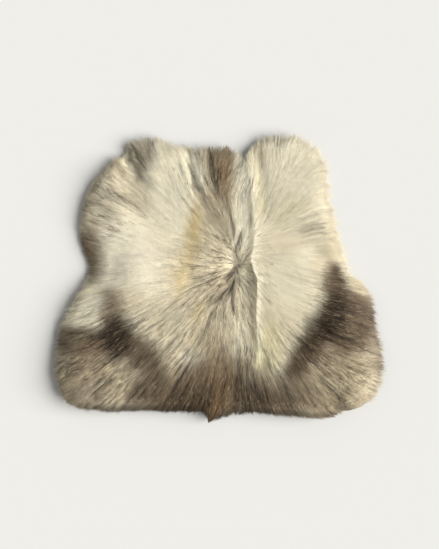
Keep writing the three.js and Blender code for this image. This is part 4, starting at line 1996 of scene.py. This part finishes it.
    def draw_wisps(self, rng: np.random.Generator, strands: Strands) -> None:
        """Draws the strands of the wisps to their points.

        Args:
            rng: the source of random numbers.
            strands: the strands.
        """
        at = strands.at_ring
        for wisp in self.wisps:
            away = np.hypot(at.plan[:, 0] - wisp.x, at.plan[:, 1] - wisp.y) / wisp.reach
            near = 1 - smoothstep(away, self.wisp_core, 1.0)
            share = wisp.draw * near * rng.uniform(*self.wisp_share, len(away))
            share = np.where(at.out[:, 2] > self.wisp_lowest_out, share, 0)[:, None]
            target = np.array([wisp.tip_x, wisp.tip_y, wisp.tip_z]) + self.form.shift
            strands.tip = strands.tip + (target - strands.tip) * share
            middle = (strands.tip + strands.ring) / 2
            strands.ring = strands.ring + (middle - strands.ring) * share * self.wisp_ring_draw

    def corners(self, strands: Strands, radius: np.ndarray) -> np.ndarray:
        """Corners of the closed strands.

        Args:
            strands: the strands.
            radius: the rings' radius.

        Returns:
            An array of strands by corners by coordinates.
        """
        axis = unit(strands.tip - strands.root)
        level = np.abs(axis[:, 2:]) < self.steep_axis
        side = unit(np.cross(axis, np.where(level, np.array([[0, 0, 1.0]]), np.array([[1.0, 0, 0]]))))
        other = np.cross(axis, side)
        around = []
        for third in range(3):
            turn = math.pi / 2 + third * 2 * math.pi / 3
            across = side * math.cos(turn) + other * math.sin(turn) * self.flatness
            around.append(strands.ring + across * radius[:, None])
        return np.stack([strands.root, *around, strands.tip], 1)

    def colours(
        self, rng: np.random.Generator, places: tuple[Places, ...], streak: np.ndarray, locks: Locks
    ) -> np.ndarray:
        """Colours of the strands' corners, with painted shade in the gaps between locks, towards the
        roots and on the front of the fold.

        Args:
            rng: the source of random numbers.
            places: the places of the strands' roots, rings and tips.
            streak: the streaks' value at each strand.
            locks: the strands' locks.

        Returns:
            An array of strands by corners by linear RGB.
        """
        ring = places[1]
        count = ring.count()
        jitter = self.lie.direction(*ring.plan.T) * rng.normal(0, self.colour_jitter, (count, 1))
        jitter = jitter + rng.normal(0, self.side_jitter, (count, 2))
        fleck = self.pattern.fleck(*ring.seen.T)
        odd = np.clip(fleck - self.odd_from, 0, self.odd_most)
        chance = rng.uniform(0, 1, count)
        amount = rng.uniform(*self.odd_amount, count)[:, None]
        shade = locks.shade[locks.of] + rng.normal(0, self.strand_shade, count)
        shade = 1 + shade * (self.plain_shade + fleck)
        shade = shade + streak * (self.streak_shade + self.streak_fleck_shade * fleck)
        # Darker in the gaps between locks, where the streaks run low: partly the darker underfur showing,
        # partly painted shade.
        shade = shade - self.gap_shade * fleck * np.maximum(-streak - self.gap_level, 0)
        dark_hair = (chance < self.odd_dark * odd) | (locks.dark[locks.of] < self.odd_dark_lock * odd)
        pale_hair = chance < self.odd_pale * odd
        dark, pale = Hair.BROWN.linear(), Hair.BEIGE.linear()
        levels = []
        for at, depth in zip(places, self.depth_shades):
            x, y = (ring.seen + (at.seen - ring.seen) * self.colour_follow + jitter).T
            colour = self.pattern.colour(x, y)
            bright = colour.mean(1) > self.pale_coat
            colour = np.where((dark_hair & bright)[:, None], colour + (dark - colour) * amount, colour)
            colour = np.where((pale_hair & ~bright)[:, None], colour + (pale - colour) * amount, colour)
            # Painted shade: strands whose hair side faces the front of the fold are darkened.
            front = 1 - self.fold_shade * smoothstep(-at.out[:, 1], 0.5, 1.0)
            # Painted shade: each strand is darker towards its root, deep in the coat, and a little
            # lighter at its tip.
            painted_depth_shade = 1 - depth * (self.depth_plain + (1 - self.depth_plain) * fleck)
            levels.append(colour * (np.clip(shade * painted_depth_shade, *self.shade_limits) * front)[:, None])
        root, middle, tip = levels
        return np.clip(np.stack([root, middle, middle, middle, tip], 1), 0, self.brightest)

    def in_zone(self, at: Places, surface: CoatSurface, zone: Zone) -> np.ndarray:
        """Which strands belong to a zone.

        Args:
            at: the places of the strands' rings.
            surface: the hair side.
            zone: the zone.

        Returns:
            True for each strand that does.
        """
        front = at.plan[:, 1] < self.front_y
        left, right = at.across < self.side_across, at.across > 1 - self.side_across
        under = at.along > surface.upper_length + surface.fold_length
        parts = {
            Zone.SHOULDER_LEFT: at.upper & ~front & left,
            Zone.SHOULDER_RIGHT: at.upper & ~front & right,
            Zone.BACK: at.upper & ~left & ~right,
            Zone.FLANK_LEFT: at.upper & front & left,
            Zone.FLANK_RIGHT: at.upper & front & right,
            Zone.FOLD: ~at.upper & ~under,
            Zone.UNDERSIDE: ~at.upper & under,
        }
        return parts[zone]

    def piece(self, name: str, corners: np.ndarray, colours: np.ndarray) -> bpy.types.Object:
        """Joins strands into one mesh, with their colours and a bake map.

        Args:
            name: the object's name.
            corners: strands by corners by coordinates.
            colours: strands by corners by linear RGB.

        Returns:
            The new object, at the origin.
        """
        count, each = corners.shape[:2]
        faces = self.shape.faces()
        loops = (faces[None] + (np.arange(count) * each)[:, None, None]).reshape(-1)
        mesh = bpy.data.meshes.new(name)
        mesh.vertices.add(count * each)
        mesh.vertices.foreach_set("co", corners.astype(np.float32).ravel())
        mesh.loops.add(len(loops))
        mesh.loops.foreach_set("vertex_index", loops.astype(np.int32))
        mesh.polygons.add(count * len(faces))
        mesh.polygons.foreach_set("loop_start", np.arange(0, len(loops), 3, dtype=np.int32))
        mesh.update(calc_edges=True)
        mesh.shade_flat()
        paint(mesh, self.finish.attribute, colours)
        squares = math.ceil(math.sqrt(count))
        cell = np.stack([np.arange(count) % squares, np.arange(count) // squares], 1)
        places = (self.shape.map_corners()[None] + cell[:, None]) / squares
        mesh.uv_layers.new(name="OFBake").uv.foreach_set("vector", places.astype(np.float32).ravel())
        return new_object(name, mesh)


def turned(flow: np.ndarray, turn: np.ndarray) -> np.ndarray:
    """Plane vectors turned by angles in radians."""
    cos, sin = np.cos(turn), np.sin(turn)
    return np.stack([flow[:, 0] * cos - flow[:, 1] * sin, flow[:, 0] * sin + flow[:, 1] * cos], 1)


def unit(vectors: np.ndarray) -> np.ndarray:
    """Vectors of length 1."""
    return vectors / np.maximum(np.linalg.norm(vectors, axis=1), 1e-12)[:, None]


def nearest(centres: np.ndarray, points: np.ndarray) -> np.ndarray:
    """The number of the nearest centre to each point.

    Args:
        centres: the centres.
        points: the points.

    Returns:
        One number for each point.
    """
    tree = KDTree(len(centres))
    for i, centre in enumerate(centres):
        tree.insert(centre, i)
    tree.balance()
    return np.array([tree.find(point)[1] for point in points])


# --- Floor, light and camera -------------------------------------------------------------------------


@dataclass
class Studio:
    """A pale floor under a soft sun and an even sky, seen from straight above."""

    frame_height: float = 549.0
    metres_per_pixel: float = 0.0027
    aim: tuple[float, float, float] = (0.0046, 0.0020, 0.045)
    camera_height: float = 4.0
    sensor: float = 36.0
    floor_size: float = 60.0
    pale: tuple[float, float, float] = (0.871, 0.862, 0.823)
    level: float = 1.25
    sun_share: float = 0.73
    sun_elevation: float = 37.0
    sun_azimuth: float = -8.0
    sun_softness: float = 50.0

    def build(self) -> None:
        """Makes the floor, the light and the camera."""
        self.build_floor()
        self.build_light()
        self.build_camera()

    def build_floor(self) -> None:
        """Makes the floor, as dark as it takes for its lit colour to meet the sky's."""
        bm = bmesh.new()
        bmesh.ops.create_grid(bm, x_segments=1, y_segments=1, size=self.floor_size / 2)
        mesh = bpy.data.meshes.new("floor")
        bm.to_mesh(mesh)
        bm.free()
        floor = new_object("floor", mesh)
        material, _, surface = new_material("pale_floor")
        surface.inputs["Base Color"].default_value = (*[c / self.level for c in self.pale], 1)
        surface.inputs["Roughness"].default_value = 1.0
        surface.inputs["Specular IOR Level"].default_value = 0.0
        mesh.materials.append(material)

    def build_light(self) -> None:
        """Makes the soft sun and the even sky."""
        light = bpy.data.lights.new("sun", "SUN")
        elevation = math.radians(self.sun_elevation)
        light.energy = self.level * self.sun_share * math.pi / math.sin(elevation)
        light.angle = math.radians(self.sun_softness)
        sun = new_object("sun", light)
        sun.rotation_euler = (0, math.pi / 2 - elevation, math.radians(self.sun_azimuth))
        world = bpy.data.worlds.new("sky")
        world.use_nodes = True
        back = world.node_tree.nodes["Background"]
        back.inputs["Color"].default_value = (1, 1, 1, 1)
        back.inputs["Strength"].default_value = self.level * (1 - self.sun_share)
        bpy.context.scene.world = world
        bpy.context.scene.view_settings.view_transform = "Standard"

    def build_camera(self) -> None:
        """Makes the camera, straight above with +Y up in the picture."""
        data = bpy.data.cameras.new("camera")
        data.sensor_width = self.sensor
        data.lens = self.sensor * self.camera_height / (self.frame_height * self.metres_per_pixel)
        camera = new_object("camera", data)
        camera.location = (self.aim[0], self.aim[1], self.aim[2] + self.camera_height)
        bpy.context.scene.camera = camera


# --- The whole hide ----------------------------------------------------------------------------------


def main() -> None:
    """Builds the hide and its studio, and reports each piece."""
    logging.basicConfig(level=logging.INFO, format="%(name)s: %(message)s", stream=sys.stdout)
    form = HideForm()
    pattern, lie = CoatPattern(), CoatLie()
    skin = Skin(form)
    sheet = skin.build()
    undercoat = Undercoat(form, pattern).build()
    coat = GuardHair(form, pattern, lie).build()
    flat, area = skin.flat_size(sheet)
    for piece in (sheet, undercoat, *coat):
        log.info("%s: %d faces", piece.name, len(piece.data.polygons))
    Studio().build()


if __name__ == "__main__":
    main()
